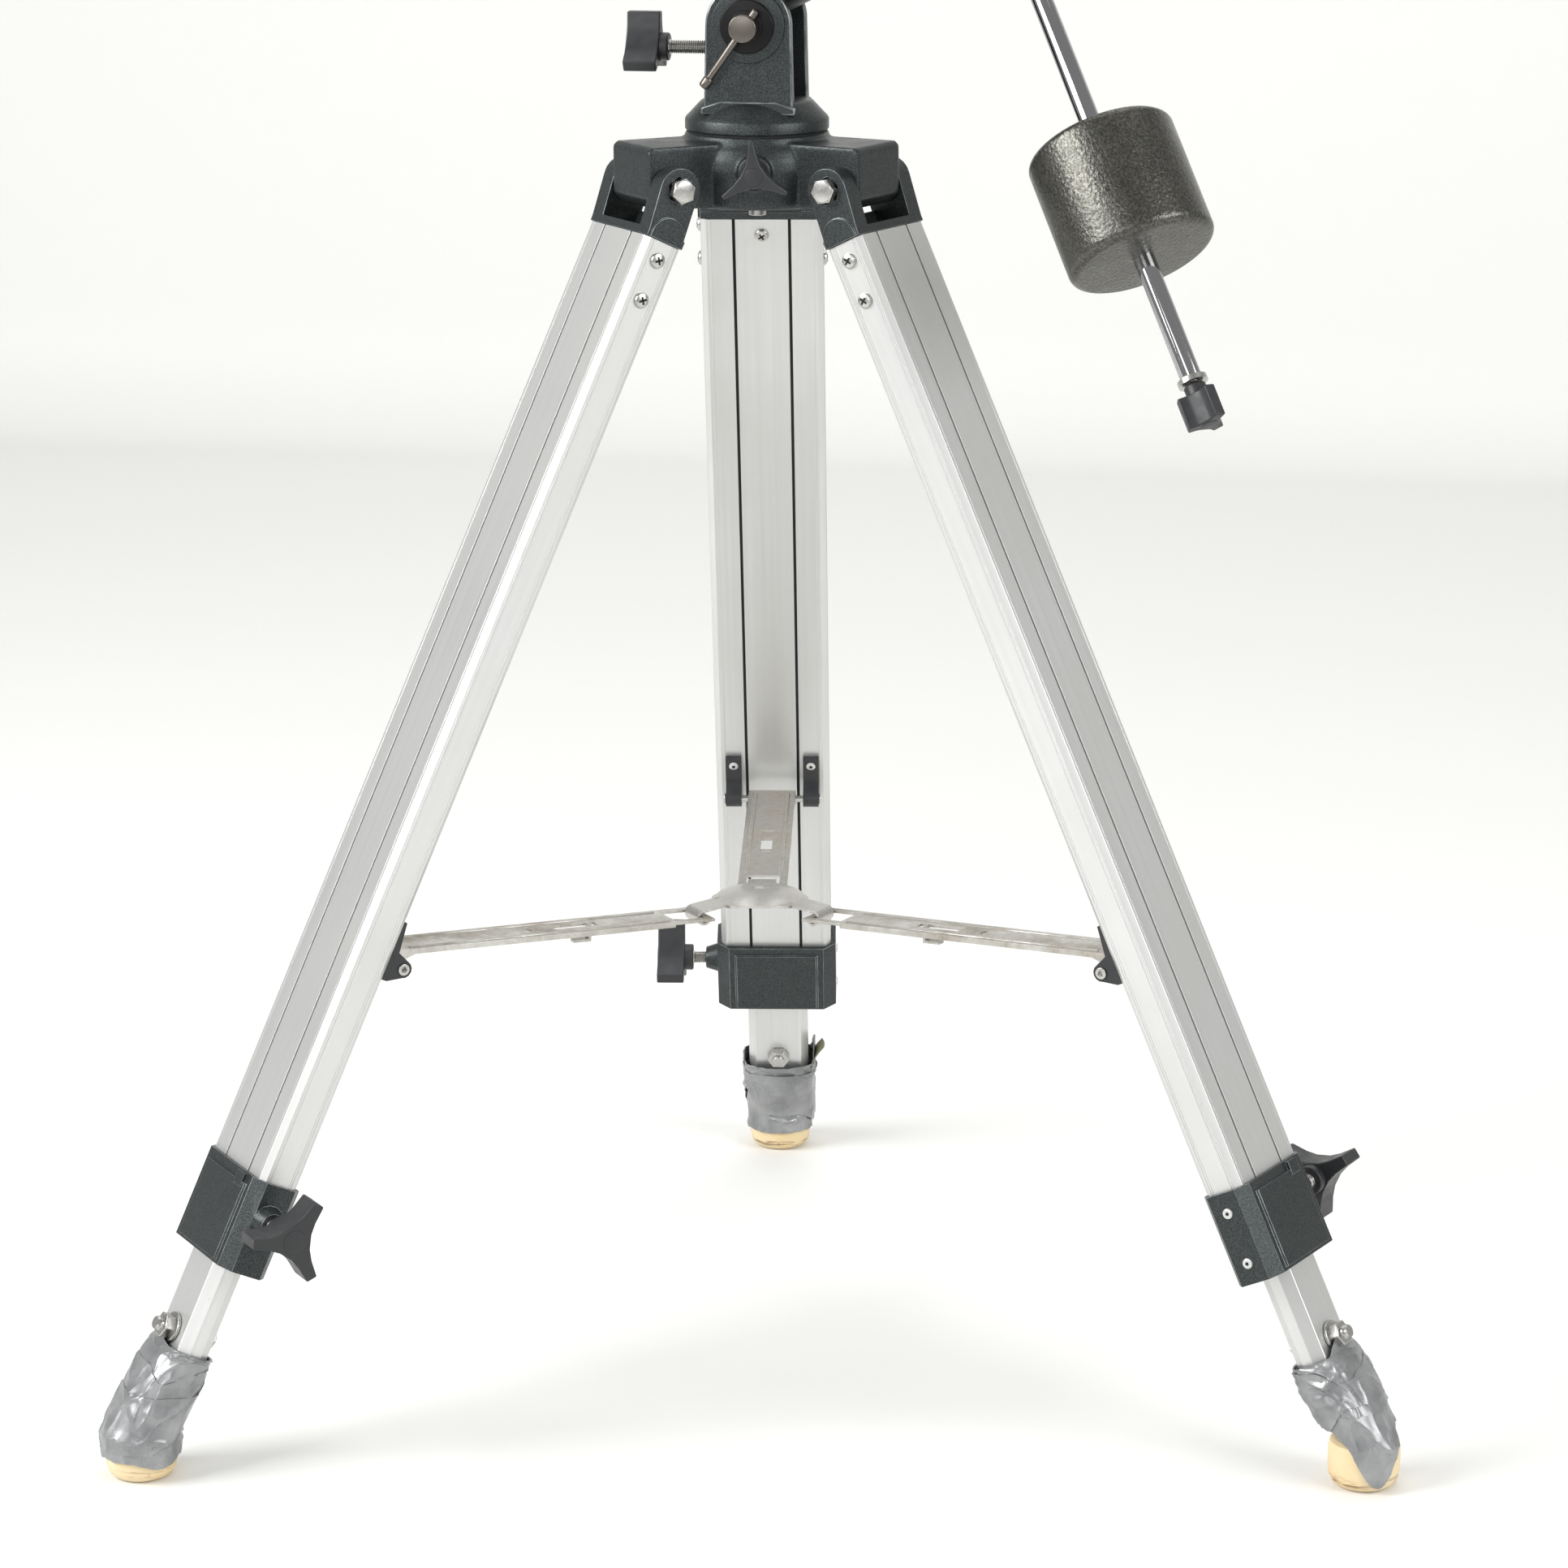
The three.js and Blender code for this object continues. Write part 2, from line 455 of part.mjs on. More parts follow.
const weightKnob = () => join(rodY(4, 4, 8, weightRadius + 5, 16), rodY(9, 10, weightRadius + 4, weightRadius + 18, 20));

const endKnob = () => starKnob({ reach: 10.5, waist: 6, tip: 3.4, lobeThick: 17, hubRadius: 6.2, hubLong: 9,
  screwRadius: 3, screwLong: 0.5 }).rotateY(-Math.PI / 2).translate(0, 0, -shaftEnd - 3);

function buildHead(parent) {
  const azimuth = frame(parent, "azimuth_axis", [0, 0, pivotHeight]);
  piece(azimuth, "latitude_fork", latitudeFork(), casting);
  piece(azimuth, "latitude_bolt", latitudeBolt(), steel);
  const rod = frame(azimuth, "lock_rod_axis", [0, lockRodAt, 0], [0, lockRodTilt, 0]);
  piece(rod, "lock_rod", lockRod(), steel);
  const screw = frame(azimuth, "latitude_screw_axis", [-16, 0, adjustDrop]);
  piece(screw, "latitude_screw", latitudeScrew(), plastic);

  const polar = frame(azimuth, "latitude_axis", [0, 0, 0], [0, -latitude, 0]);
  piece(polar, "polar_housing", polarHousing(), casting);
  const shaftFrame = frame(polar, "polar_axis", [0, 0, polarOffset]);
  piece(shaftFrame, "polar_circle", polarCircle(), scale);
  const wormFrame = frame(polar, "polar_worm_axis", [75, 0, polarOffset + wormRadial]);
  piece(wormFrame, "polar_worm", worm(30, 42), steel);
  piece(shaftFrame, "polar_shaft", polarShaft(), steel);

  const dec = frame(shaftFrame, "dec_axis", [decReach, 0, 0], [hourAngle - Math.PI / 2, 0, 0]);
  piece(dec, "dec_housing", decHousing(), casting);
  piece(dec, "dec_shaft", decShaft(), steel);
  piece(dec, "dec_circle", decCircle(), scale);
  piece(dec, "saddle", saddle(), casting);
  const decWorm = frame(dec, "dec_worm_axis", [30, 0, 27]);
  piece(decWorm, "dec_worm", worm(26, 36), steel);
  piece(dec, "counterweight_shaft", weightShaft(), chrome);
  piece(dec, "shaft_end_knob", endKnob(), plastic);
  const weight = frame(dec, "counterweight_axis", [0, 0, -weightReach]);
  piece(weight, "counterweight", counterweight(), iron);
  piece(weight, "counterweight_knob", weightKnob(), plastic);
}

// ---- assembly -------------------------------------------------------------------------------------
const mount = new THREE.Group();
mount.name = "equatorial_mount";
const tripod = frame(mount, "hinge_plane", [0, 0, hingeHeight]);
piece(tripod, "tripod_head", tripodHead(), casting);
piece(tripod, "retaining_bolt", retainingBolt(), steel);
const azimuthKnob = frame(tripod, "azimuth_knob_axis", [0, 0, 8], [0, 0, rad(98.1)]);
piece(azimuthKnob, "azimuth_knob", starKnob({ reach: 20, waist: 6.5, tip: 2.2, lobeThick: 8, hubRadius: 6.5, hubLong: 8,
  screwRadius: 3, screwLong: 14 }).translate(-54, 0, 0), plastic);
Object.keys(legAzimuth).forEach((side) => buildLeg(tripod, side));
piece(tripod, "spreader_plate", spreaderPlate(), steel);
buildHead(tripod);

mount.updateMatrixWorld(true);
const limits = new THREE.Box3().setFromObject(mount, true);
const centre = limits.getCenter(new THREE.Vector3());
mount.position.set(-centre.x, -centre.y, -limits.min.z);

export default mount;
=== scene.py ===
"""Looks of the equatorial mount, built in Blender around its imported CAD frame.

Lengths are written in millimetres in each sub-part's own frame and turned to metres by MM.
North is +X, and the camera stands on the -Y side.
"""
import math
import random

import bmesh
import bpy
from mathutils import Matrix, Vector, noise


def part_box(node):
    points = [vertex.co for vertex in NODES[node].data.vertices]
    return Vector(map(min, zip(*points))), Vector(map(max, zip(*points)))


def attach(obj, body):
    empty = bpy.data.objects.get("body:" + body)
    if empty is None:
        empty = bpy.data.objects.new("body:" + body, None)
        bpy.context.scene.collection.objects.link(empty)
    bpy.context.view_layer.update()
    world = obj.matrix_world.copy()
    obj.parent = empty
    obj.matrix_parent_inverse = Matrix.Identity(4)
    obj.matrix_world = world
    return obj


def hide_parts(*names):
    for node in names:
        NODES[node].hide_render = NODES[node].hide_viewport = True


MM = 0.001

# Driving dimensions, the same as the CAD's, in millimetres and degrees.
SPLAY = 25.7
HINGE_RADIUS = 68
LEG_AZIMUTH = {"left": 218.1, "right": -21.9, "rear": 98.1}
LEG_HALF = 36
LEG_BACK = -15
LEG_FRONT = 9
LEG_MID = (LEG_BACK + LEG_FRONT) / 2
LEG_TOP = -30
CLAMP_TOP = -603
CLAMP_HALF = 39.3
KNOB_DROP = CLAMP_TOP - 21
PIN_DROP = -465
PIN_BACK = -27.3
ARM_RISE = -2.5
ARM_REACH = 207
ARM_TOP = 7
PLATE_DROP = -432.4
PLATE_THICK = 1.6
GROOVE_AT = 16.5
SCREW_DROPS = (-41, -65)    # leg screws below the hinge
FOOT_BOLT_DROP = -704
CLAMP_KNOB_TURN = {"left": -48, "right": -20, "rear": 25}
COLLAR = 27
PIVOT_HEIGHT = 88.2
LATITUDE = 26.5
ADJUST_TIP = -16
ADJUST_DROP = -15
FORK_HALF = 29
LOCK_ROD_AT = -41.5
LOCK_ROD_TILT = 35
POLAR_OFFSET = 18
POLAR_WORM_AT = (75, 0, 33)
DEC_WORM_AT = (30, 0, 27)
DEC_REACH = 157.7
HOUR_ANGLE = 63.5
WEIGHT_REACH = 214.7
WEIGHT_TALL = 73
WEIGHT_RADIUS = 42
SHAFT_END = 327.4
HEAD_ARM_HALF = 23
FORK_GAP_HALF = 22
FOOT_MIDDLE = -775          # middle of the rubber foot along the leg
FOOT_RISE = 16              # middle of the foot above the floor
FOOT_RADIUS = 20.5
TAPE_TOP = -713
TAPE_LOW = 14               # lower edge of the tape above the floor
TRIPOD_BOLT_LOW = -22       # the retaining bolt's lower end below the hinge plane
KNOB_BOSS_HEIGHT = 8        # axis of the azimuth knob above the hinge plane

# Studio: soft boxes as (place in metres, size in metres, power in watts), and the camera from the hinge plane.
LIGHTS = {
    "key": ((-2.6, -1.6, 2.2), 2.0, 120),
    "fill": ((2.9, -1.5, 1.9), 2.0, 75),
    "front": ((-0.6, -3.4, 1.6), 1.6, 24),
    "top": ((0.0, 0.8, 3.2), 2.6, 32),
}
WORLD_LIGHT = 0.38
CAMERA_AT = (484.7, -2748.0, 346.9)
CAMERA_TURN = 9.708
CAMERA_DIP = 14.2
CAMERA_ROLL = -0.155
CAMERA_LENS = 111.8

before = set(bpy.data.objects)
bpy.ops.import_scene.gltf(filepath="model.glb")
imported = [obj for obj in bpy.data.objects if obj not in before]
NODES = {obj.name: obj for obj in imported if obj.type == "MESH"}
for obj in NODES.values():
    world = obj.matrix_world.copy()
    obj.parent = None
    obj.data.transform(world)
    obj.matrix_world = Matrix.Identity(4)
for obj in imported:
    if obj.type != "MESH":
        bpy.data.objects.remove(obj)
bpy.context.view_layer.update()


# ---- frames ------------------------------------------------------------------------------------
def shift(x=0, y=0, z=0):
    return Matrix.Translation((x * MM, y * MM, z * MM))


def turn(axis, degrees):
    return Matrix.Rotation(math.radians(degrees), 4, axis)


def tripod_frame():
    """Hinge plane on the mount's vertical axis, found from the central bolt."""
    low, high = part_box("retaining_bolt")
    x, y = (low[0] + high[0]) / 2, (low[1] + high[1]) / 2
    return Matrix.Translation((x, y, low[2] - TRIPOD_BOLT_LOW * MM))


TRIPOD = tripod_frame()
LEGS = {side: TRIPOD @ turn("Z", azimuth - 90) @ shift(y=HINGE_RADIUS) @ turn("X", SPLAY)
        for side, azimuth in LEG_AZIMUTH.items()}
ARMS = {side: leg @ shift(y=PIN_BACK, z=PIN_DROP) @ turn("X", -SPLAY - ARM_RISE)
        for side, leg in LEGS.items()}
AZIMUTH = TRIPOD @ shift(z=PIVOT_HEIGHT)
POLAR = AZIMUTH @ turn("Y", -LATITUDE) @ shift(z=POLAR_OFFSET)
DEC = POLAR @ shift(x=DEC_REACH) @ turn("X", HOUR_ANGLE - 90)
POLAR_WORM = POLAR @ shift(*POLAR_WORM_AT)
DEC_WORM = DEC @ shift(*DEC_WORM_AT)
WEIGHT = DEC @ shift(z=-WEIGHT_REACH)
FEET = {side: leg @ shift(y=LEG_MID, z=FOOT_MIDDLE) @ turn("X", -SPLAY) @ shift(z=-FOOT_RISE)
        for side, leg in LEGS.items()}
AZIMUTH_KNOB = TRIPOD @ turn("Z", LEG_AZIMUTH["rear"]) @ shift(z=KNOB_BOSS_HEIGHT)
LOCK_ROD = AZIMUTH @ shift(y=LOCK_ROD_AT) @ turn("Y", LOCK_ROD_TILT)


# ---- materials ---------------------------------------------------------------------------------
class Shader:
    """A Principled material with short calls for the node patterns used here."""

    def __init__(self, name, color, metallic=0.0, roughness=0.5, place=None):
        self.material = bpy.data.materials.new(name)
        self.material.use_nodes = True
        self.tree = self.material.node_tree
        self.surface = self.tree.nodes["Principled BSDF"]
        self.surface.inputs["Base Color"].default_value = (*color, 1)
        self.surface.inputs["Metallic"].default_value = metallic
        self.surface.inputs["Roughness"].default_value = roughness
        self.color = color
        self.vector = self.coordinates(place)

    def node(self, kind, **values):
        made = self.tree.nodes.new(kind)
        for key, value in values.items():
            setattr(made, key, value)
        return made

    def link(self, source, target):
        self.tree.links.new(source, target)

    def coordinates(self, place):
        """Object coordinates seen from the frame place, so that patterns follow a tilted part."""
        source = self.node("ShaderNodeTexCoord").outputs["Object"]
        if place is None:
            return source
        mapping = self.node("ShaderNodeMapping", vector_type="TEXTURE")
        mapping.inputs["Location"].default_value = place.to_translation()
        mapping.inputs["Rotation"].default_value = place.to_euler()
        self.link(source, mapping.inputs["Vector"])
        return mapping.outputs["Vector"]

    def stretched(self, x, y, z):
        mapping = self.node("ShaderNodeMapping")
        mapping.inputs["Scale"].default_value = (x, y, z)
        self.link(self.vector, mapping.inputs["Vector"])
        return mapping.outputs["Vector"]

    def noise(self, scale, detail=3.0, vector=None, roughness=0.5):
        made = self.node("ShaderNodeTexNoise")
        made.inputs["Scale"].default_value = scale
        made.inputs["Detail"].default_value = detail
        made.inputs["Roughness"].default_value = roughness
        self.link(vector or self.vector, made.inputs["Vector"])
        return made.outputs["Fac"]

    def ramp(self, source, low, high, dark=0.0, light=1.0):
        made = self.node("ShaderNodeMapRange")
        made.inputs["From Min"].default_value = low
        made.inputs["From Max"].default_value = high
        made.inputs["To Min"].default_value = dark
        made.inputs["To Max"].default_value = light
        self.link(source, made.inputs["Value"])
        return made.outputs["Result"]

    def mix(self, factor, first, second):
        """Colour between first and second, each a colour or a socket."""
        made = self.node("ShaderNodeMix", data_type="RGBA")
        self.link(factor, made.inputs["Factor"])
        for value, slot in ((first, 6), (second, 7)):
            if isinstance(value, tuple):
                made.inputs[slot].default_value = (*value, 1)
            else:
                self.link(value, made.inputs[slot])
        return made.outputs[2]

    def product(self, first, second):
        made = self.node("ShaderNodeMath", operation="MULTIPLY")
        self.link(first, made.inputs[0])
        self.link(second, made.inputs[1])
        return made.outputs["Value"]

    def paint(self, color):
        self.link(color, self.surface.inputs["Base Color"])

    def gloss(self, source):
        self.link(source, self.surface.inputs["Roughness"])

    def metal(self, source):
        self.link(source, self.surface.inputs["Metallic"])

    def bump(self, height, strength, distance_mm):
        made = self.node("ShaderNodeBump")
        made.inputs["Strength"].default_value = strength
        made.inputs["Distance"].default_value = distance_mm * MM
        self.link(height, made.inputs["Height"])
        self.link(made.outputs["Normal"], self.surface.inputs["Normal"])


def hammer_paint(name, dark, light, grain, bump, roughness, metallic):
    """Hammer-finish enamel: fine metallic flakes in a darker, slightly dimpled paint."""
    s = Shader(name, light, metallic, roughness)
    flakes = s.ramp(s.noise(grain, 2, roughness=0.6), 0.40, 0.72)
    s.paint(s.mix(flakes, dark, light))
    s.gloss(s.ramp(s.noise(60, 3), 0.3, 0.7, roughness - 0.05, roughness + 0.06))
    s.bump(s.noise(grain * 0.6, 2), bump, 0.4)
    return s.material


def worn_edge_highlight(name):
    """Paint rubbed thin along the edges of the castings, brighter in patches; this lighter metallic colour on
    the edges is also a painted highlight.
    """
    s = Shader(name, (0.16, 0.175, 0.18), 0.7, 0.3)
    s.paint(s.mix(s.ramp(s.noise(120, 4), 0.3, 0.75), (0.09, 0.105, 0.11), (0.30, 0.32, 0.33)))
    return s.material


def satin_aluminium(name, place, stained=False):
    """Anodised extrusion: very faint streaks along the leg, and rust runs where stained."""
    s = Shader(name, (0.66, 0.665, 0.66), 0.72, 0.38, place)
    streaks = s.noise(1.0, 3, s.stretched(300, 300, 3))
    tone = s.mix(s.ramp(streaks, 0.3, 0.7), (0.625, 0.63, 0.625), (0.685, 0.69, 0.68))
    cloud = s.ramp(s.noise(9, 4), 0.35, 0.7)
    tone = s.mix(cloud, tone, (0.60, 0.60, 0.585))
    if stained:
        run = s.ramp(s.noise(1.0, 5, s.stretched(95, 95, 20), 0.65), 0.63, 0.70)
        tone = s.mix(s.product(run, s.ramp(s.noise(30), 0.52, 0.62)), tone, (0.40, 0.20, 0.06))
    s.paint(tone)
    s.gloss(s.ramp(cloud, 0, 1, 0.33, 0.42))
    return s.material


def rusty_zinc(name, place, rust=0.5):
    """Zinc-plated sheet steel with brown dust and rust bloom."""
    s = Shader(name, (0.54, 0.53, 0.50), 0.8, 0.36, place)
    fine = s.noise(500, 4, roughness=0.7)
    bloom = s.ramp(s.noise(34, 5, roughness=0.7), 0.42, 0.68, 0.0, rust)
    tone = s.mix(s.ramp(fine, 0.3, 0.7), (0.47, 0.46, 0.43), (0.60, 0.59, 0.56))
    s.paint(s.mix(s.product(bloom, s.ramp(fine, 0.2, 0.6)), tone, (0.22, 0.16, 0.10)))
    s.metal(s.ramp(bloom, 0, 1, 0.85, 0.35))
    s.gloss(s.ramp(bloom, 0, 1, 0.3, 0.7))
    s.bump(fine, 0.1, 0.1)
    return s.material


def plain_metal(name, color, roughness, spread=0.06):
    """Bare metal with a slightly uneven gloss."""
    s = Shader(name, color, 1.0, roughness)
    s.gloss(s.ramp(s.noise(300, 4), 0.3, 0.7, roughness - spread / 2, roughness + spread))
    return s.material


def moulded_plastic(name):
    """Black moulding with a fine grain."""
    s = Shader(name, (0.018, 0.019, 0.021), 0.0, 0.42)
    s.gloss(s.ramp(s.noise(160, 4), 0.3, 0.7, 0.34, 0.52))
    s.bump(s.noise(900, 2), 0.12, 0.1)
    return s.material


def old_rubber(name, place):
    """Cream rubber foot, with painted shade: a streaky darker brown band just above the floor."""
    s = Shader(name, (0.74, 0.56, 0.30), 0.0, 0.5, place)
    split = s.node("ShaderNodeSeparateXYZ")
    s.link(s.vector, split.inputs[0])
    height = split.outputs["Z"]
    tone = s.mix(s.ramp(s.noise(28, 2), 0.35, 0.65), (0.76, 0.63, 0.40), (0.72, 0.54, 0.29))
    # Painted shade on the foot's underside: a streaky darker brown band 1 to 10 mm above the floor.
    low = s.product(s.ramp(height, 0.001, 0.005), s.ramp(height, 0.006, 0.010, 1, 0))
    low_shade = s.product(low, s.ramp(s.noise(1.0, 5, s.stretched(50, 50, 320), 0.7), 0.50, 0.62))
    tone = s.mix(low_shade, tone, (0.25, 0.14, 0.07))
    grime = s.ramp(s.noise(150, 5, roughness=0.65), 0.66, 0.74)
    s.paint(s.mix(grime, tone, (0.34, 0.21, 0.11)))
    s.bump(s.noise(140, 4), 0.15, 0.3)
    return s.material


def cloth_tape(name):
    """Silver cloth tape: plastic sheen over a fine weave, greyer in patches."""
    s = Shader(name, (0.27, 0.275, 0.28), 0.45, 0.36)
    patches = s.ramp(s.noise(48, 4, roughness=0.6), 0.35, 0.68)
    s.paint(s.mix(patches, (0.20, 0.205, 0.21), (0.33, 0.335, 0.34)))
    s.gloss(s.ramp(s.noise(120, 3), 0.3, 0.7, 0.24, 0.44))
    s.bump(s.noise(900, 2), 0.12, 0.15)
    return s.material


def flat(name, color, roughness=0.6, metallic=0.0):
    """One colour with a faintly uneven gloss."""
    s = Shader(name, color, metallic, roughness)
    s.gloss(s.ramp(s.noise(200), 0.3, 0.7, roughness - 0.05, roughness + 0.05))
    return s.material


CASTING = hammer_paint("painted_casting", (0.020, 0.024, 0.025), (0.072, 0.082, 0.082),
                       grain=1500, bump=0.12, roughness=0.40, metallic=0.6)
IRON = hammer_paint("hammered_iron", (0.058, 0.057, 0.050), (0.150, 0.147, 0.130),
                    grain=800, bump=1.0, roughness=0.3, metallic=0.8)
# Worn paint along the castings' edges, which also serves as a painted edge highlight.
WORN_EDGE_HIGHLIGHT = worn_edge_highlight("worn_edge_highlight")
STEEL = plain_metal("fastener_steel", (0.50, 0.49, 0.47), 0.26)
DARK_STEEL = plain_metal("dark_nickel", (0.15, 0.135, 0.12), 0.3)
BLACK_STEEL = plain_metal("blackened_washer", (0.022, 0.022, 0.022), 0.38)
CHROME = plain_metal("chromed_steel", (0.44, 0.44, 0.45), 0.06, 0.02)
PLASTIC = moulded_plastic("black_plastic")
RUBBER = {side: old_rubber(f"cream_rubber_{side}", foot) for side, foot in FEET.items()}
TAPE = cloth_tape("silver_tape")
STICKY = flat("sticky_side", (0.21, 0.21, 0.13), 0.55)
SCALE = plain_metal("scale_ring", (0.74, 0.74, 0.72), 0.35)
SHADOW = flat("groove_shadow", (0.012, 0.012, 0.012), 0.9)
LEG_METAL = {side: satin_aluminium(f"anodised_{side}", leg) for side, leg in LEGS.items()}
FOOT_METAL = {side: satin_aluminium(f"anodised_foot_{side}", leg, True) for side, leg in LEGS.items()}
ARM_METAL = {side: rusty_zinc(f"zinc_arm_{side}", arm, 0.8) for side, arm in ARMS.items()}
PLATE_METAL = rusty_zinc("zinc_plate", TRIPOD, 0.12)


# ---- geometry helpers --------------------------------------------------------------------------
def make(name, verts, faces, place, material, body, smooth=35):
    """A mesh object with vertices in millimetres in the frame place, riding on a CAD body."""
    mesh = bpy.data.meshes.new(name)
    mesh.from_pydata([Vector(v) * MM for v in verts], [], faces)
    mesh.validate()
    bm = bmesh.new()
    bm.from_mesh(mesh)
    bmesh.ops.recalc_face_normals(bm, faces=bm.faces)
    bm.to_mesh(mesh)
    bm.free()
    made = bpy.data.objects.new(name, mesh)
    bpy.context.collection.objects.link(made)
    made.matrix_world = place
    mesh.materials.append(material)
    soften(made, smooth)
    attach(made, body)
    return made


def soften(obj, angle=35):
    """Smooth shading except across edges sharper than angle."""
    obj.data.polygons.foreach_set("use_smooth", [True] * len(obj.data.polygons))
    obj.data.set_sharp_from_angle(angle=math.radians(angle))


def bevel(obj, width, segments=2, angle=30):
    """Rounded edges. On the castings the rounding shows the worn paint and a painted edge highlight."""
    made = obj.modifiers.new("bevel", "BEVEL")
    made.width = width * MM
    made.segments = segments
    made.limit_method = "ANGLE"
    made.angle_limit = math.radians(angle)
    made.harden_normals = False
    # On castings the bevel takes the worn-paint colour, which is a painted edge highlight as well.
    if obj.data.materials[0] is CASTING:
        obj.data.materials.append(WORN_EDGE_HIGHLIGHT)
        made.material = 1
    return obj


def cast(name, parts, place, material, body, voxel=1.0, smoothing=8):
    """Overlapping closed parts of (verts, faces) grown into one casting with soft inner corners."""
    verts, faces = [], []
    for part_verts, part_faces in parts:
        start = len(verts)
        verts += part_verts
        faces += [tuple(start + i for i in face) for face in part_faces]
    made = make(name, verts, faces, place, material, body, 60)
    remesh = made.modifiers.new("grow", "REMESH")
    remesh.mode = "VOXEL"
    remesh.voxel_size = voxel * MM
    remesh.use_smooth_shade = True
    smooth = made.modifiers.new("soften", "SMOOTH")
    smooth.factor = 0.5
    smooth.iterations = smoothing
    return made


def moved(part, place):
    """The same part after the turn and shift of place, whose shift is in metres."""
    verts, faces = part
    return [tuple(place @ (Vector(v) * MM) / MM) for v in verts], faces


def lathe_mesh(profile, steps=96):
    """Verts and faces of a turned solid about Z: profile of (radius, along) from axis to axis."""
    verts, faces = [], []
    inner = profile[1:-1]
    verts.append((0, 0, profile[0][1]))
    for radius, along in inner:
        for i in range(steps):
            a = 2 * math.pi * i / steps
            verts.append((radius * math.cos(a), radius * math.sin(a), along))
    verts.append((0, 0, profile[-1][1]))
    last = len(verts) - 1
    for i in range(steps):
        j = (i + 1) % steps
        faces.append((0, 1 + j, 1 + i))
        for row in range(len(inner) - 1):
            a, b = 1 + row * steps, 1 + (row + 1) * steps
            faces.append((a + i, a + j, b + j, b + i))
        end = 1 + (len(inner) - 1) * steps
        faces.append((end + i, end + j, last))
    return verts, faces


AXIS_TURN = {"Z": Matrix.Identity(4), "X": turn("Y", 90), "Y": turn("X", -90)}


def lathe(name, profile, place, material, body, steps=96, axis="Z"):
    """Turned solid along one axis of place."""
    verts, faces = lathe_mesh(profile, steps)
    return make(name, verts, faces, place @ AXIS_TURN[axis], material, body)


def rounded(radius, low, high, edge=0.6, steps=3):
    """Profile of a cylinder with rounded rims."""
    profile = [(0, low)]
    for i in range(steps + 1):
        a = math.pi / 2 * i / steps
        profile.append((radius - edge + edge * math.sin(a), low + edge - edge * math.cos(a)))
    for i in range(steps + 1):
        a = math.pi / 2 * i / steps
        profile.append((radius - edge + edge * math.cos(a), high - edge + edge * math.sin(a)))
    return profile + [(0, high)]


def rod(name, radius, low, high, place, material, body, axis="Z", steps=48, edge=0.5):
    return lathe(name, rounded(radius, low, high, edge), place, material, body, steps, axis)


def prism_mesh(outline, low, high):
    """Verts and faces of an outline of (x, y) pushed from low to high."""
    count = len(outline)
    verts = [(x, y, low) for x, y in outline] + [(x, y, high) for x, y in outline]
    faces = [tuple(range(count))[::-1], tuple(range(count, 2 * count))]
    faces += [(i, (i + 1) % count, count + (i + 1) % count, count + i) for i in range(count)]
    return verts, faces


def prism(name, outline, low, high, place, material, body, edge=0.6, segments=2):
    """Outline of (x, y) pushed along Z, with bevelled edges."""
    verts, faces = prism_mesh(outline, low, high)
    made = make(name, verts, faces, place, material, body)
    if edge:
        bevel(made, edge, segments)
    return made


def block(name, x0, x1, y0, y1, z0, z1, place, material, body, edge=0.5):
    return prism(name, [(x0, y0), (x1, y0), (x1, y1), (x0, y1)], z0, z1, place, material, body, edge)


def hexagon(flats):
    """Outline of a hexagon by its width across flats."""
    radius = flats / math.sqrt(3)
    return [(radius * math.cos(math.pi / 3 * i), radius * math.sin(math.pi / 3 * i)) for i in range(6)]


def arc(radius, start, end, steps, cx=0, cy=0):
    """Points of an arc in degrees about (cx, cy)."""
    angles = [math.radians(start + (end - start) * i / steps) for i in range(steps + 1)]
    return [(cx + radius * math.cos(a), cy + radius * math.sin(a)) for a in angles]


def ring_shell_faces(rows, turns):
    """Faces of a closed ring of sheet: two layers of rows + 1 rings, each of turns vertices."""
    size = (rows + 1) * turns
    last = rows * turns
    faces = []
    for i in range(turns):
        j = (i + 1) % turns
        for row in range(rows):
            a, b = row * turns, (row + 1) * turns
            faces.append((a + i, a + j, b + j, b + i))
            faces.append((size + a + i, size + b + i, size + b + j, size + a + j))
        faces.append((i, size + i, size + j, j))
        faces.append((last + i, last + j, size + last + j, size + last + i))
    return faces


# ---- CAD nodes shown as they are ---------------------------------------------------------------
def finish_node(name, material, edge=0.5, angle=32):
    """A CAD node kept in view: welded, with soft bevelled edges and its new material."""
    obj = NODES[name]
    obj.data.materials.clear()
    obj.data.materials.append(material)
    weld = obj.modifiers.new("weld", "WELD")
    weld.merge_threshold = 0.01 * MM
    if edge:
        bevel(obj, edge, 2, angle)
    smooth = obj.modifiers.new("normals", "WEIGHTED_NORMAL")
    smooth.keep_sharp = True
    obj.data.polygons.foreach_set("use_smooth", [True] * len(obj.data.polygons))


# ---- hardware ----------------------------------------------------------------------------------
def screw_head(name, place, body, radius=4.5, height=2.6):
    """Phillips pan head, its axis along +Z of place."""
    profile = [(0, 0), (radius, 0), (radius, height * 0.3), (radius * 0.86, height * 0.72),
               (radius * 0.55, height * 0.94), (0, height)]
    lathe(name, profile, place, STEEL, body, 40)
    arm, wide = radius * 0.52, radius * 0.13
    for quarter in (0, 90):
        block(f"{name}_slot{quarter}", -arm, arm, -wide, wide, height * 0.78, height + 0.04,
              place @ turn("Z", 35 + quarter), SHADOW, body, 0)


def rivet(name, place, body):
    """Pop rivet with its broken mandrel, its axis along +Z of place."""
    lathe(name, [(0, 0), (3.1, 0), (2.9, 0.8), (2.2, 1.2), (1.2, 1.2), (1.1, 0.7), (0, 0.7)], place,
          LEG_METAL["right"], body, 32)
    rod(f"{name}_mandrel", 0.9, 0.5, 1.0, place, SHADOW, body, edge=0.1, steps=20)


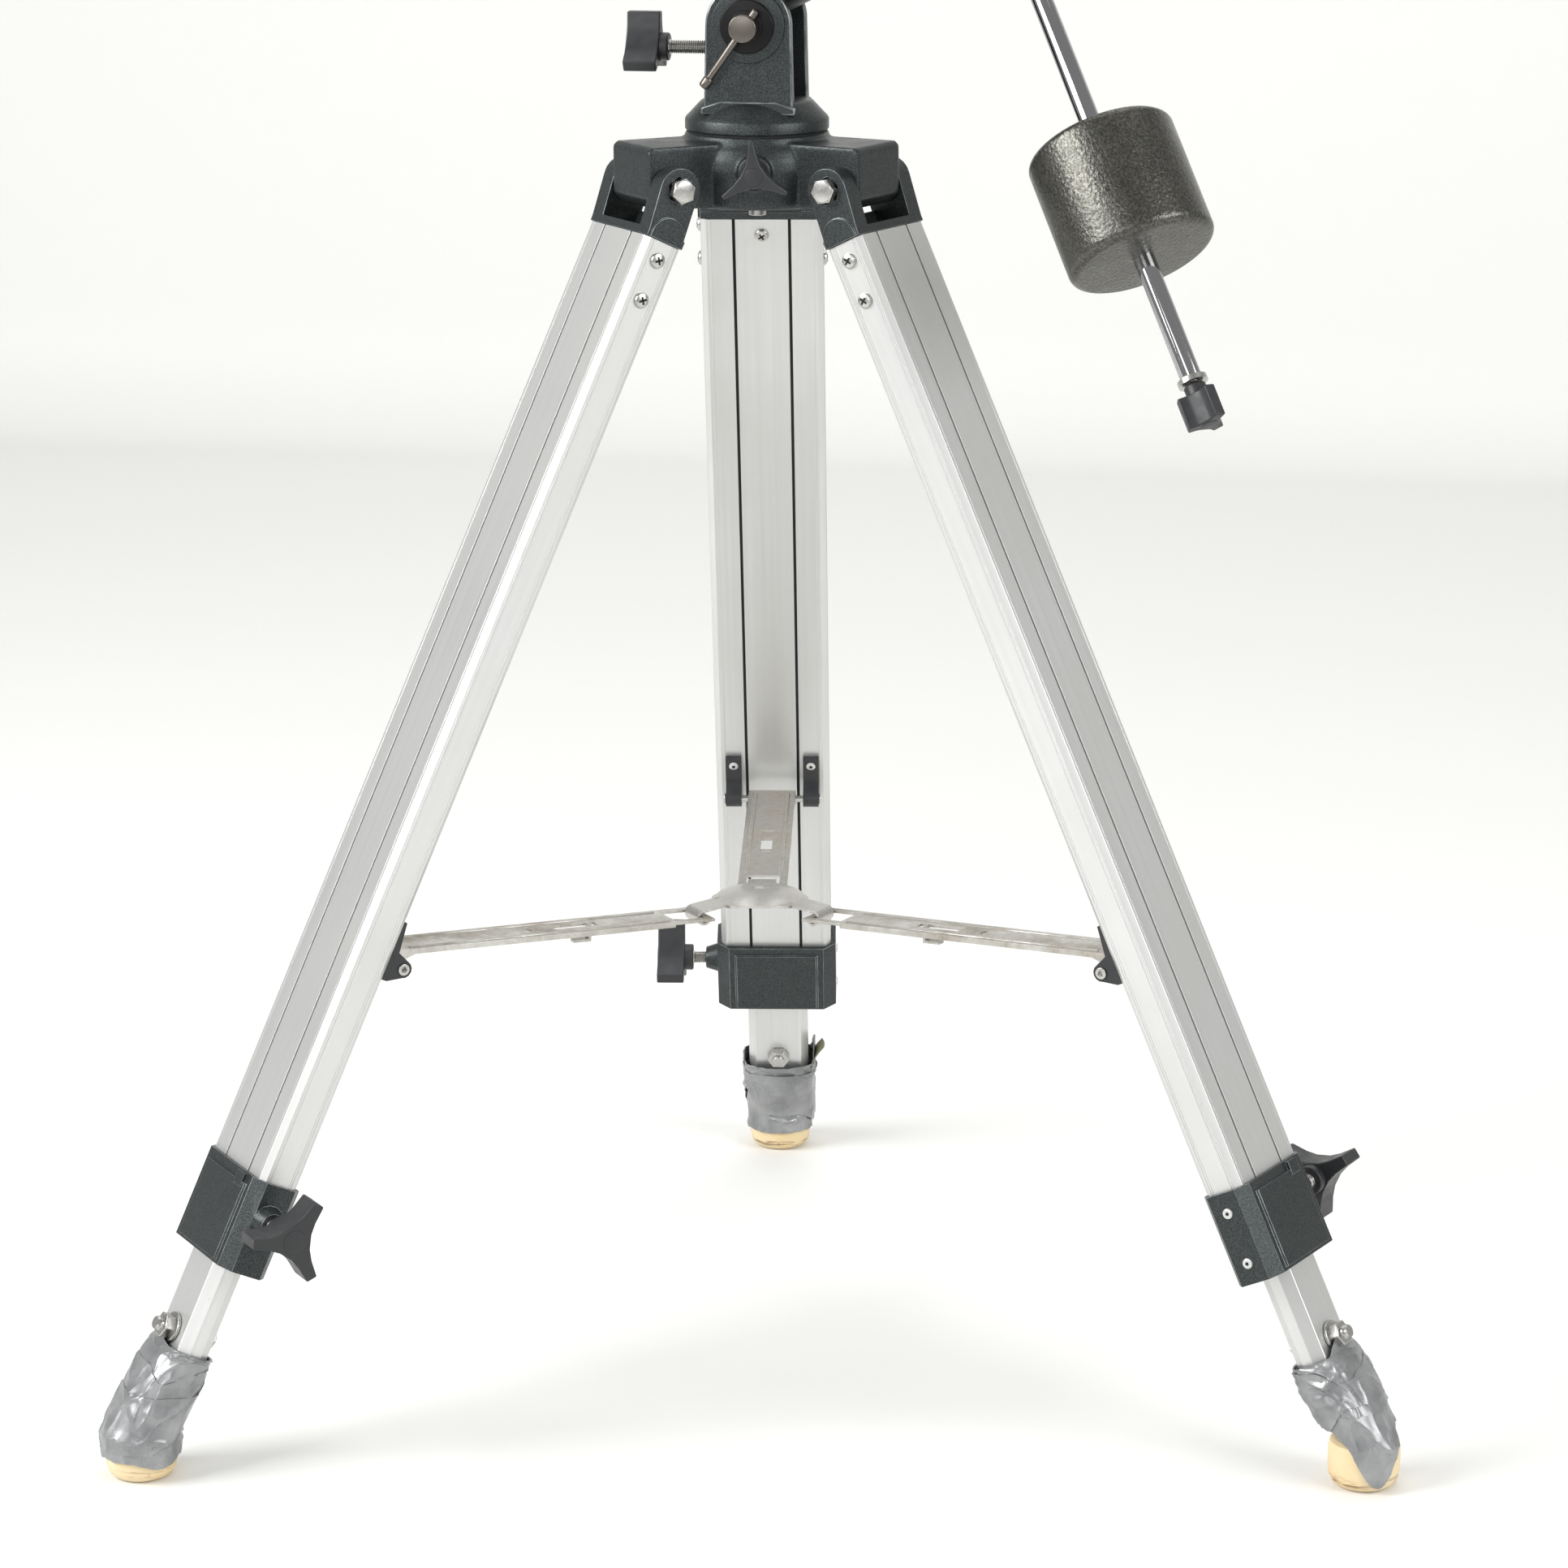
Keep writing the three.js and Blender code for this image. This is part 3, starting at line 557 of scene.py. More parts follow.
def thread(name, radius, low, high, pitch, place, material, body):
    """Threaded rod along X: a ridge per pitch, close enough to a helix to read as one."""
    profile = [(0, low)]
    along = low
    while along < high - pitch:
        profile += [(radius - 0.6, along), (radius, along + pitch * 0.5)]
        along += pitch
    profile += [(radius - 0.6, high), (0, high)]
    return lathe(name, profile, place, material, body, 32, "X")


def star(reach, waist, tip):
    """Outline of three tapered wings on a round hub, one wing along +Y."""
    outline = []
    for wing in range(3):
        a = math.radians(90 + 120 * wing)
        root, neck = waist * 0.72, waist * 0.3 + tip * 0.55
        for along, side in ((waist, -root), (reach * 0.6, -neck), (reach, -tip),
                            (reach, tip), (reach * 0.6, neck), (waist, root)):
            x = along * math.cos(a) - side * math.sin(a)
            y = along * math.sin(a) + side * math.cos(a)
            outline.append((x, y))
    return outline


def hand_knob(name, place, body, reach, waist, tip, thick, hub_radius, hub_long):
    """Three-winged knob facing -X: hub from x = 0, then the wings."""
    along = place @ turn("Y", -90)
    rod(f"{name}_hub", hub_radius, 0, hub_long + thick * 0.4, along, PLASTIC, body, edge=1)
    rod(f"{name}_ferrule", hub_radius * 0.55, -0.6, 1, along, STEEL, body, edge=0.2)
    prism(f"{name}_wings", star(reach, waist, tip), hub_long * 0.6, hub_long + thick,
          along @ turn("Z", 90), PLASTIC, body, 0.8, 3)
    rod(f"{name}_cap", waist * 0.85, hub_long, hub_long + thick + 0.3, along, PLASTIC, body, edge=0.3)


def hex_bolt(name, place, body, flats=13, height=5.2):
    """Hexagon head with its washer face, axis along +Z of place."""
    made = prism(f"{name}_hex", hexagon(flats), 0, height, place, STEEL, body, 0.5)
    rod(f"{name}_crown", flats * 0.46, height - 0.2, height + 0.25, place, STEEL, body, edge=0.2)
    return made


# ---- tripod ------------------------------------------------------------------------------------
def tripod_head():
    """Hub with three short arms, cast in one piece, and the wing knob on its south side."""
    body = "tripod_head"
    hub = [(0, -6), (26, -6), (26, -14), (44.5, -14), (47, -11.5), (47.4, 8), (46.6, 14), (44.4, 19),
           (42.2, 22), (41.2, 24.5), (41, COLLAR - 0.3), (0, COLLAR - 0.3)]
    parts = [lathe_mesh(hub, 128)]
    profile = [(20, 23), (78.5, 23), (81, 20.5), (81, -6), (75.5, -12), (20, -14)]
    for azimuth in LEG_AZIMUTH.values():
        place = turn("Z", azimuth - 90) @ turn("Z", 90) @ turn("X", 90)
        parts.append(moved(prism_mesh(profile, -HEAD_ARM_HALF, HEAD_ARM_HALF), place))
        boss = lathe_mesh(rounded(12.8, -HEAD_ARM_HALF, HEAD_ARM_HALF), 64)
        parts.append(moved(boss, turn("Z", azimuth - 90) @ shift(y=HINGE_RADIUS) @ AXIS_TURN["X"]))
    knob_boss = lathe_mesh(rounded(9.6, -51, -30), 48)
    parts.append(moved(knob_boss, turn("Z", LEG_AZIMUTH["rear"]) @ shift(z=KNOB_BOSS_HEIGHT) @ AXIS_TURN["X"]))
    head = cast("tripod_casting", parts, TRIPOD, CASTING, body)
    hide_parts("tripod_head")
    finish_node("retaining_bolt", STEEL, 0.4)
    knob = AZIMUTH_KNOB @ shift(x=-54)
    hand_knob("azimuth_wing", knob @ turn("X", 56), "azimuth_knob", 21, 6, 1.1, 7, 6.5, 8)
    thread("azimuth_knob_screw", 3, 0, 14, 1, knob, STEEL, "azimuth_knob")
    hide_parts("azimuth_knob")
    groove = [(0, COLLAR - 0.6), (40.3, COLLAR - 0.6), (40.3, COLLAR + 0.4), (0, COLLAR + 0.4)]
    lathe("azimuth_groove", groove, TRIPOD, SHADOW, body)


def leg_screws(side, leg):
    """Two pan heads on each narrow face and one on the back."""
    body = f"{side}_leg"
    for across in (-1, 1):
        for drop in SCREW_DROPS:
            place = leg @ shift(across * LEG_HALF, LEG_MID, drop) @ turn("Y", 90 * across)
            screw_head(f"{side}_screw_{across}_{-drop}", place, body)
    screw_head(f"{side}_screw_back", leg @ shift(0, LEG_BACK, SCREW_DROPS[0]) @ turn("X", 90), body, 4.2)


def leg_grooves(side, leg):
    """Dark bottoms of the grooves, and the ridges beside the corners."""
    body = f"{side}_leg"
    for face, y in (("back", LEG_BACK + 1), ("front", LEG_FRONT - 1)):
        for across in (-1, 1):
            x = across * GROOVE_AT
            block(f"{side}_groove_{face}{across}", x - 0.88, x + 0.88, y - 0.1, y + 0.1,
                  CLAMP_TOP - 28, LEG_TOP - 0.5, leg, SHADOW, body, 0)
            ridge = across * (LEG_HALF - 5.5)
            block(f"{side}_ridge_{face}{across}", ridge - 0.5, ridge + 0.5, y - 1.25, y + 1.25,
                  CLAMP_TOP, LEG_TOP - 0.4, leg, LEG_METAL[side], body, 0.2)


def leg_ribs(side, leg):
    """Fine lines drawn along the narrow faces and beside the corners of the extrusion."""
    for across in (-1, 1):
        for y in (LEG_BACK + 4.4, LEG_BACK + 5.8, LEG_FRONT - 5.8, LEG_FRONT - 4.4):
            x = across * LEG_HALF
            name = f"{side}_line_{across}_{y:.0f}_{int(y * 10) % 10}"
            block(name, x - 0.25, x + 0.25, y - 0.35, y + 0.35, CLAMP_TOP, LEG_TOP - 0.4, leg,
                  LEG_METAL[side], f"{side}_leg", 0.12)


def leg_clamp(side, leg):
    """Clamp casting with its rivets and hand knob."""
    body = f"{side}_leg"
    finish_node(f"{side}_clamp", CASTING, 1.0)
    for drop in (12, 42):
        rivet(f"{side}_rivet_{drop}", leg @ shift(CLAMP_HALF, LEG_MID, CLAMP_TOP - drop) @ turn("Y", 90), body)
    knob_place = leg @ shift(-CLAMP_HALF - 16.5, LEG_MID, KNOB_DROP) @ turn("X", CLAMP_KNOB_TURN[side])
    knob_body = f"{side}_clamp_knob"
    name = f"{side}_clamp_handle"
    hand_knob(name, knob_place, knob_body, 25, 8.4, 3.2, 14, 8.6, 9.5)
    thread(f"{side}_clamp_thread", 4, -0.5, 18, 1.25, knob_place, STEEL, knob_body)
    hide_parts(knob_body)


# Wraps of tape on each leg: upper and lower edge as a share of the way down, lift off the layer below in
# millimetres, and bumps of the two edges as (angle, half width, share).
WRAPS = {
    "left": [(0.0, 0.80, 0.0, [(62, 38, -0.2)], []),
             (0.34, 1.0, 0.7, [(150, 60, 0.12)], [(190, 50, 0.07)]),
             (0.56, 0.92, 1.3, [(250, 45, -0.10)], [(240, 40, -0.12)])],
    "right": [(0.0, 0.62, 0.5, [(100, 45, -0.14)], [(301, 50, 0.10)]),
              (0.42, 0.72, 0.0, [(210, 60, 0.10)], [(46, 62, 0.42)]),
              (0.24, 0.56, 1.2, [(60, 70, 0.14)], [(340, 50, 0.16)])],
    "rear": [(0.0, 0.62, 0.9, [(270, 55, 0.16), (10, 30, -0.22)], [(300, 60, 0.10)]),
             (0.40, 1.0, 0.2, [(200, 50, 0.10)], [(20, 40, -0.12)]),
             (0.36, 0.80, 1.5, [(180, 45, -0.06)], [(350, 50, 0.12), (200, 40, -0.20)])],
}
STANDING = shift(y=LEG_MID, z=FOOT_MIDDLE) @ turn("X", -SPLAY) @ shift(z=-FOOT_RISE)
TAPE_TURNS = 216               # vertices around one wrap
TAPE_ROWS = 56
TAPE_LENGTH = 66               # length of the wound part along the leg, millimetres
TAPE_MEAN = 21                 # its mean radius
TAPE_KNEE = 0.8                # share of the way down where the wound surface turns upright
TAPE_ACROSS = 22.6             # half sizes of the wound octagon on the leg, and its radius over the foot
TAPE_DEEP = 12.4
TAPE_ROUND = 21.3
TAPE_THICK = 0.55


def squared(value, power):
    """value, of size up to 1, raised to power with its sign kept: a circle becomes a rounded box."""
    return math.copysign(abs(value) ** power, value)


def tape_surface(angle, share):
    """Point on the wound surface and its way out: octagon over the leg at share 0, upright circle over the
    foot from share TAPE_KNEE on."""
    c, s = math.cos(angle), math.sin(angle)
    top = Vector((TAPE_ACROSS * squared(c, 0.62), LEG_MID + TAPE_DEEP * squared(s, 0.62), TAPE_TOP))
    out = Vector((top.x, top.y - LEG_MID, 0)).normalized()
    if share <= 0:
        return top + Vector((0, 0, -share * TAPE_LENGTH)), out
    power = 0.7 + 0.3 * min(1.0, max(0.0, (share - 0.4) / 0.35))
    x, y = TAPE_ROUND * squared(c, power), TAPE_ROUND * squared(s, power)
    height = TAPE_LOW + TAPE_LENGTH * (1 - max(share, TAPE_KNEE))
    low = STANDING @ (Vector((x, y, height)) * MM) / MM
    level = (STANDING.to_3x3() @ Vector((x, y, 0))).normalized()
    if share >= TAPE_KNEE:
        return low, level
    low.z += TAPE_LENGTH * (TAPE_KNEE - share)
    return top.lerp(low, share / TAPE_KNEE), out.lerp(level, share / TAPE_KNEE).normalized()


def edge_share(angle, base, bumps):
    """Share of the way down where an edge of the tape runs at this angle."""
    for middle, half, change in bumps:
        off = abs((math.degrees(angle) - middle + 180) % 360 - 180) / half
        if off < 1:
            base += change * (0.5 + 0.5 * math.cos(math.pi * off))
    return base


def tape_folds(seed, count=24):
    """Random sharp creases: (around, along, direction, reach, height, width) in millimetres."""
    pick = random.Random(seed)
    return [(pick.uniform(0, 2 * math.pi * TAPE_MEAN), pick.uniform(4, TAPE_LENGTH - 8),
             math.radians(pick.choice((-1, 1)) * pick.uniform(8, 50)), pick.uniform(8, 20),
             pick.uniform(0.5, 1.7), pick.uniform(2.0, 4.5)) for _ in range(count)]


def fold_height(angle, share, folds):
    """How far all the creases together lift the tape at this point, in millimetres."""
    girth = 2 * math.pi * TAPE_MEAN
    total = 0.0
    for around, along, direction, reach, height, width in folds:
        x = (angle * TAPE_MEAN - around + girth / 2) % girth - girth / 2
        y = share * TAPE_LENGTH - along
        forward = x * math.cos(direction) + y * math.sin(direction)
        across = y * math.cos(direction) - x * math.sin(direction)
        if abs(forward) < reach:
            sharp = width * (0.3 if across > 0 else 1.0)
            total += height * (1 - (forward / reach) ** 2) * math.exp(-((across / sharp) ** 2))
    return total


def tape_lift(angle, share, lift, offset, folds):
    """Height of the tape's outer face above the wound surface: waves, crumples and creases."""
    c, s = math.cos(angle), math.sin(angle)
    wave = noise.noise(Vector((c * 1.6, s * 1.6, share * 3.0)) + offset)
    crumple = (1 - abs(noise.noise(Vector((c * 2.4, s * 2.4, share * 5.0)) + offset))) ** 7
    return 0.45 + lift + 0.5 * abs(wave) + 0.9 * crumple + fold_height(angle, share, folds)


def tape_wrap(name, leg, body, wrap, seed, folds):
    """One closed strip of tape wound round the leg, creased and with uneven edges."""
    high, low, lift, high_bumps, low_bumps = wrap
    offset = Vector((seed * 7.3, seed * 3.1, seed * 5.7))
    verts = []
    for inner in (False, True):
        for row in range(TAPE_ROWS + 1):
            for i in range(TAPE_TURNS):
                a = 2 * math.pi * i / TAPE_TURNS
                ragged = 0.012 * noise.noise(Vector((math.cos(a) * 5, math.sin(a) * 5, seed)))
                start = edge_share(a, high, high_bumps) + ragged
                end = edge_share(a, low, low_bumps) + ragged
                share = start + max(0.05, end - start) * row / TAPE_ROWS
                spot, away = tape_surface(a, share)
                out = tape_lift(a, share, lift, offset, folds)
                if inner:
                    out = max(0.0, out - TAPE_THICK)
                verts.append(tuple(spot + away * out))
    return make(name, verts, ring_shell_faces(TAPE_ROWS, TAPE_TURNS), leg, TAPE, body, 60)


def foot_tape(side, leg, seed):
    """The three wraps of one foot, which share their creases."""
    folds = tape_folds(seed)
    for number, wrap in enumerate(WRAPS[side]):
        made = tape_wrap(f"{side}_tape_{number}", leg, f"{side}_foot_leg", wrap, seed * 3 + number, folds)
        if number == 0:
            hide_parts(f"{side}_foot_tape")


def tape_flap(leg):
    """Loose end of tape on the rear leg, curling away with its sticky side out."""
    verts, faces = [], []
    rows, columns = 14, 10
    for layer in (0, 0.5):
        for row in range(rows + 1):
            up = row / rows
            for column in range(columns + 1):
                side = column / columns - 0.5
                x = 22.5 + 7.5 * up * up + layer + 0.8 * math.sin(5 * side + 3 * up)
                y = LEG_MID - 2 + 15 * side * (1 - 0.35 * up)
                verts.append((x, y, TAPE_TOP - 8 + 23.5 * up - 9 * side * side * up))
    size = (rows + 1) * (columns + 1)
    wide = columns + 1
    for row in range(rows):
        for column in range(columns):
            a = row * wide + column
            faces.append((a, a + 1, a + wide + 1, a + wide))
            faces.append((size + a, size + a + wide, size + a + wide + 1, size + a + 1))
    rim = ([(0, c) for c in range(columns)] + [(r, columns) for r in range(rows)]
           + [(rows, c) for c in range(columns, 0, -1)] + [(r, 0) for r in range(rows, 0, -1)])
    ids = [r * wide + c for r, c in rim]
    for i, a in enumerate(ids):
        b = ids[(i + 1) % len(ids)]
        faces.append((a, size + a, size + b, b))
    make("rear_tape_flap", verts, faces, leg, STICKY, "rear_foot_leg", 60)


def foot_bolt(side, place, body):
    """Bolt through the inner leg, its axis outwards: head inside, washer, nut and thread outside."""
    shank = rod(f"{side}_foot_shank", 4, -20, 17, place, STEEL, body, edge=0.8)
    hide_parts(f"{side}_foot_bolt")
    prism(f"{side}_foot_hex", hexagon(13), -18.3, -13.1, place, STEEL, body, 0.5)
    rod(f"{side}_foot_washer", 9, 7.1, 8.9, place, STEEL, body, edge=0.4)
    prism(f"{side}_foot_nut", hexagon(13), 8.8, 15, place, STEEL, body, 0.5)
    thread(f"{side}_foot_thread", 4.1, 14.5, 19, 1.25, place @ turn("Y", -90), STEEL, body)


def foot(side, leg, seed):
    """Inner leg with its bolt, rubber puck and tape."""
    body = f"{side}_foot_leg"
    finish_node(f"{side}_inner_leg", FOOT_METAL[side], 0.5)
    profile = [(0, 0), (12, 0), (15.6, 0.8), (18.2, 2.8), (19.8, 6.2), (FOOT_RADIUS, 11), (FOOT_RADIUS, 23),
               (19.6, 26.5), (15, 29), (0, 29)]
    rubber = lathe(f"{side}_rubber_foot", profile, FEET[side], RUBBER[side], body, 128)
    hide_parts(f"{side}_foot")
    foot_bolt(side, leg @ shift(z=FOOT_BOLT_DROP) @ turn("X", -90), body)
    foot_tape(side, leg, seed)
    if side == "rear":
        tape_flap(leg)


def brackets(side, leg):
    """Lugs, rivets and pin that carry the spreader arm."""
    for end, across in (("a", -1), ("b", 1)):
        finish_node(f"{side}_bracket_{end}", PLASTIC, 0.7)
        place = leg @ shift(across * 24.8, LEG_BACK - 3.6, PIN_DROP + 20) @ turn("X", 90)
        rivet(f"{side}_bracket_rivet_{end}", place, f"{side}_leg")
    finish_node(f"{side}_spreader_pin", STEEL, 0.3)
    for across in (-1, 1):
        place = leg @ shift(y=PIN_BACK, z=PIN_DROP) @ turn("Z", 90 - 90 * across)
        rod(f"{side}_pin_head_{across}", 3.4, 29.9, 31, place, STEEL, f"{side}_leg", "X", edge=0.4)


def spreader_arm(side, place):
    """CAD arm with two pressed ribs along it."""
    body = f"{side}_arm"
    finish_node(f"{side}_spreader_arm", ARM_METAL[side], 0.3)
    for across in (-1, 1):
        x = across * 10.4
        block(f"{side}_arm_rib{across}", x - 1.2, x + 1.2, -ARM_REACH + 28, -12, ARM_TOP - 0.3, ARM_TOP + 0.5,
              place, ARM_METAL[side], body, 0.45)


def plate_height(radius):
    """Upper face of the domed plate above its resting face."""
    flat, knee = 11, 26
    if radius < knee:
        return 10 - 0.0085 * max(radius * radius - flat * flat, 0)
    return 5.28 - (radius - knee) * 0.115


def plate_radius(angle):
    """Edge of the plate: a round body drawn out into a straight tab over each arm."""
    body, tab, half = 25.5, 41.5, 8.5
    nearest = min(abs((angle - azimuth + 180) % 360 - 180) for azimuth in LEG_AZIMUTH.values())
    off = math.radians(nearest)
    straight = half / math.sin(off) if off > 0.02 else tab
    flare = 3.5 * max(0.0, 1 - ((nearest - 20) / 16) ** 2)
    return max(body + flare, min(tab / math.cos(off), straight)) if nearest < 60 else body


def spreader_plate(steps=360, rings=12):
    """Pressed dome with a centre slot and three tabs that curl down through the arms' windows."""
    verts = []
    for thick in (0.0, PLATE_THICK):
        for ring in range(rings + 1):
            for i in range(steps):
                a = 2 * math.pi * i / steps
                c, s = math.cos(a), math.sin(a)
                hole = 1 / math.hypot(c / 5, s / 3)
                here = hole + (plate_radius(math.degrees(a)) - hole) * ring / rings
                verts.append((c * here, s * here, PLATE_DROP + plate_height(here) - thick))
    faces = ring_shell_faces(rings, steps)
    plate = make("spreader_plate_dome", verts, faces, TRIPOD, PLATE_METAL, "spreader_plate")
    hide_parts("spreader_plate")
    for side, azimuth in LEG_AZIMUTH.items():
        edge, centre = 40.8, (41.5, -1.2)
        outside, inside = arc(4.7, 88, -175, 20, *centre), arc(3.1, -175, 88, 20, *centre)
        curl = [(edge, plate_height(edge)), *outside, *inside, (edge, plate_height(edge) - PLATE_THICK)]
        place = TRIPOD @ turn("Z", azimuth) @ shift(z=PLATE_DROP) @ turn("X", 90)
        prism(f"{side}_plate_curl", curl, -8.5, 8.5, place, PLATE_METAL, "spreader_plate", 0.25)


def build_leg(side, seed):
    """One leg from the yoke down to the foot, and its spreader arm."""
    leg = LEGS[side]
    finish_node(f"{side}_yoke", CASTING, 0.8)
    block(f"{side}_yoke_lip", -HEAD_ARM_HALF, HEAD_ARM_HALF, LEG_BACK + 0.5, LEG_BACK + 4,
          LEG_TOP + 3, LEG_TOP + 15.5, leg, CASTING, f"{side}_leg")
    finish_node(f"{side}_outer_leg", LEG_METAL[side], 0.9)
    for across in (-1, 1):
        place = leg @ shift(across * 36) @ turn("Y", 90 * across) @ turn("Z", 12)
        hex_bolt(f"{side}_hinge_head{across}", place, f"{side}_leg")
    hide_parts(f"{side}_hinge_bolt")
    leg_screws(side, leg)
    leg_grooves(side, leg)
    leg_ribs(side, leg)
    leg_clamp(side, leg)
    foot(side, leg, seed)
    brackets(side, leg)
    spreader_arm(side, ARMS[side])


# ---- azimuth base and fork -----------------------------------------------------------------------
def fork():
    """Turned base, two rounded cheeks with a flared foot, the south web and the pivot bosses."""
    body = "azimuth_base"
    seat = COLLAR + 0.3 - PIVOT_HEIGHT
    floor = seat + 15
    base = [(0, seat), (40.4, seat), (41.2, seat + 1), (41.2, seat + 6.2), (40.6, seat + 7.4),
            (38.6, seat + 9.4), (32.4, seat + 16), (30.6, seat + 17.1), (0, seat + 17.1)]
    rim = lathe("azimuth_rim", base, AZIMUTH, CASTING, body, 160)
    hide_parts("latitude_fork")
    upright_place = AZIMUTH @ turn("X", 90)
    cheek = [(-25.5, floor), (25.5, floor), *arc(24.5, 0, 180, 48)]
    flare = [(-27, floor - 4), (27, floor - 4), (27, floor), (16, floor + 3.6), (-16, floor + 3.6),
             (-27, floor)]
    for name, sign in (("front", 1), ("back", -1)):
        low, high = sorted((sign * FORK_GAP_HALF, sign * FORK_HALF))
        prism(f"fork_cheek_{name}", cheek, low, high, upright_place, CASTING, body, 1.0, 3)
        low, high = sorted((sign * (FORK_HALF - 3), sign * (FORK_HALF + 1.6)))
        prism(f"fork_flare_{name}", flare, low, high, upright_place, CASTING, body, 1.0, 3)
        low, high = sorted((sign * (FORK_HALF - 1), sign * (FORK_HALF + 1.8)))
        rod(f"pivot_boss_{name}", 21.1, low, high, upright_place, CASTING, body, steps=96, edge=0.7)
    block("fork_web", -25, -19, -FORK_GAP_HALF - 1, FORK_GAP_HALF + 1, floor - 1, -9, AZIMUTH,
          CASTING, body, 1.0)


def latitude_bolt():
    """Clamping bolt through the cheeks, with its sliding bar."""
    body = "latitude_bolt"
    front = -FORK_HALF
    washer = rod("latitude_washer", 15.3, front - 5.4, front - 2.2, AZIMUTH, BLACK_STEEL, body, "Y", 80, 0.9)
    rod("latitude_bolt_head", 7.9, front - 19, front - 5.2, AZIMUTH, DARK_STEEL, body, "Y", 64, 0.8)
    rod("latitude_bolt_neck", 9.2, front - 7, front - 5, AZIMUTH, BLACK_STEEL, body, "Y", 64, 0.4)
    place = AZIMUTH @ shift(y=-front + 2.1) @ turn("X", -90)
    prism("latitude_nut", hexagon(17), 0, 6.5, place, STEEL, body, 0.6)
    rod("latitude_bolt_end", 5, 0, 9, place, STEEL, body, edge=0.8)
    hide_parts("latitude_bolt")
    rod("lock_rod_bar", 2.15, -37, 12, LOCK_ROD, DARK_STEEL, "lock_rod", edge=0.7)
    bulb = rod("lock_rod_end", 3.1, -41, -34, LOCK_ROD, DARK_STEEL, "lock_rod", edge=1.4)
    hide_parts("lock_rod")


def latitude_screw():
    """Hand knob on the threaded rod that sets the latitude."""
    place = AZIMUTH @ shift(x=ADJUST_TIP, z=ADJUST_DROP)
    body = "latitude_screw"
    knob = place @ shift(x=-34.5) @ turn("X", 60)
    hand_knob("latitude_handle", knob, body, 20, 8, 3.4, 16, 8, 8)
    thread("latitude_thread", 3.9, -36, -3, 1.25, place, STEEL, body)
    rod("latitude_screw_tip", 2.4, -4, 0, place, STEEL, body, "X", edge=0.5)
    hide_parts("latitude_screw")


# ---- polar and declination head -------------------------------------------------------------------
def worm_knob(name, place, node, reach, body):
    """Slow-motion worm along Y and the ribbed knob on the -Y side."""
    radius, rib, ribs, steps = 11.2, 0.5, 24, 192
    outline = []
    for i in range(steps):
        a = 2 * math.pi * i / steps
        here = radius + rib * math.cos(ribs * a)
        outline.append((here * math.cos(a), here * math.sin(a)))
    knob = prism(f"{name}_knob", outline, reach, reach + 16, place @ turn("X", 90), PLASTIC, body, 0.5)
    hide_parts(node)
    rod(f"{name}_rod", 3.5, -reach - 1, reach - 4, place, STEEL, body, "Y")


def polar_head():
    """Polar barrel with its drum and worm case, carried between the fork cheeks."""
    body = "polar_head"
    housing = [(0, -12), (19.8, -12), (21, -10.8), (21, 49), (22, 51), (32.4, 59), (34, 61.5), (34, 88.8),
               (32.8, 90), (0, 90)]
    barrel = lathe("polar_barrel", housing, POLAR, CASTING, body, 128, "X")
    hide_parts("polar_housing")
    rod("polar_worm_case", 10, -30, 30, POLAR_WORM, CASTING, body, "Y", 64, 1.5)
    tilt_place = POLAR @ shift(z=-POLAR_OFFSET) @ turn("X", 90)
    lug = [*arc(12, 180, 360, 24), (12, 14), (-8, 14)]
    prism("polar_lug", lug, -FORK_GAP_HALF + 0.5, FORK_GAP_HALF - 0.5, tilt_place, CASTING, body, 1.0)
    tail = [(-14, -22), (-3, -22), (2, 0), (-5, 6), (-14, -2)]
    prism("polar_tail", tail, -10, 10, AZIMUTH @ turn("X", 90), CASTING, body, 1.0)
    rotor = [(0, 90.2), (22, 90.2), (22, 96.8), (0, 96.8)]
    shaft = lathe("polar_flange", rotor, POLAR, STEEL, "polar_rotor", 96, "X")
    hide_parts("polar_shaft")
    ring = lathe("polar_scale", rounded(35, 90.3, 96.6, 0.8), POLAR, SCALE, "polar_circle", 128, "X")
    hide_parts("polar_circle")
    worm_knob("polar_slow", POLAR_WORM, "polar_worm", 42, "polar_worm")


def dec_head():
    """Declination barrel on its neck, with drum, worm case, scale ring and saddle."""
    body = "polar_rotor"
    neck = [(0, -DEC_REACH + 97.3), (22.8, -DEC_REACH + 97.3), (24, -DEC_REACH + 98.5), (22, -16), (0, -16)]
    lathe("dec_neck", neck, DEC, CASTING, body, 96, "X")
    housing = [(0, -52), (13, -52), (14, -51), (22.6, -38.6), (24, -36.5), (24, 12), (25.5, 14), (29.8, 14.6),
               (31, 16), (31, 38.8), (29.8, 40), (0, 40)]
    barrel = lathe("dec_barrel", housing, DEC, CASTING, body, 128)
    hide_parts("dec_housing")
    rod("dec_worm_case", 9, -26, 26, DEC_WORM, CASTING, body, "Y", 64, 1.5)
    shaft = rod("dec_flange", 16, 40, 46, DEC, STEEL, "dec_rotor", edge=0.4)
    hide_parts("dec_shaft")
    ring = lathe("dec_scale", rounded(32, 40.3, 45.7, 0.8), DEC, SCALE, "dec_rotor", 128)
    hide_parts("dec_circle")
    rod("saddle_flange", 29, 46.3, 54, DEC, CASTING, "dec_rotor", steps=96, edge=1.0)
    finish_node("saddle", CASTING, 1.0)
    worm_knob("dec_slow", DEC_WORM, "dec_worm", 36, "dec_worm")


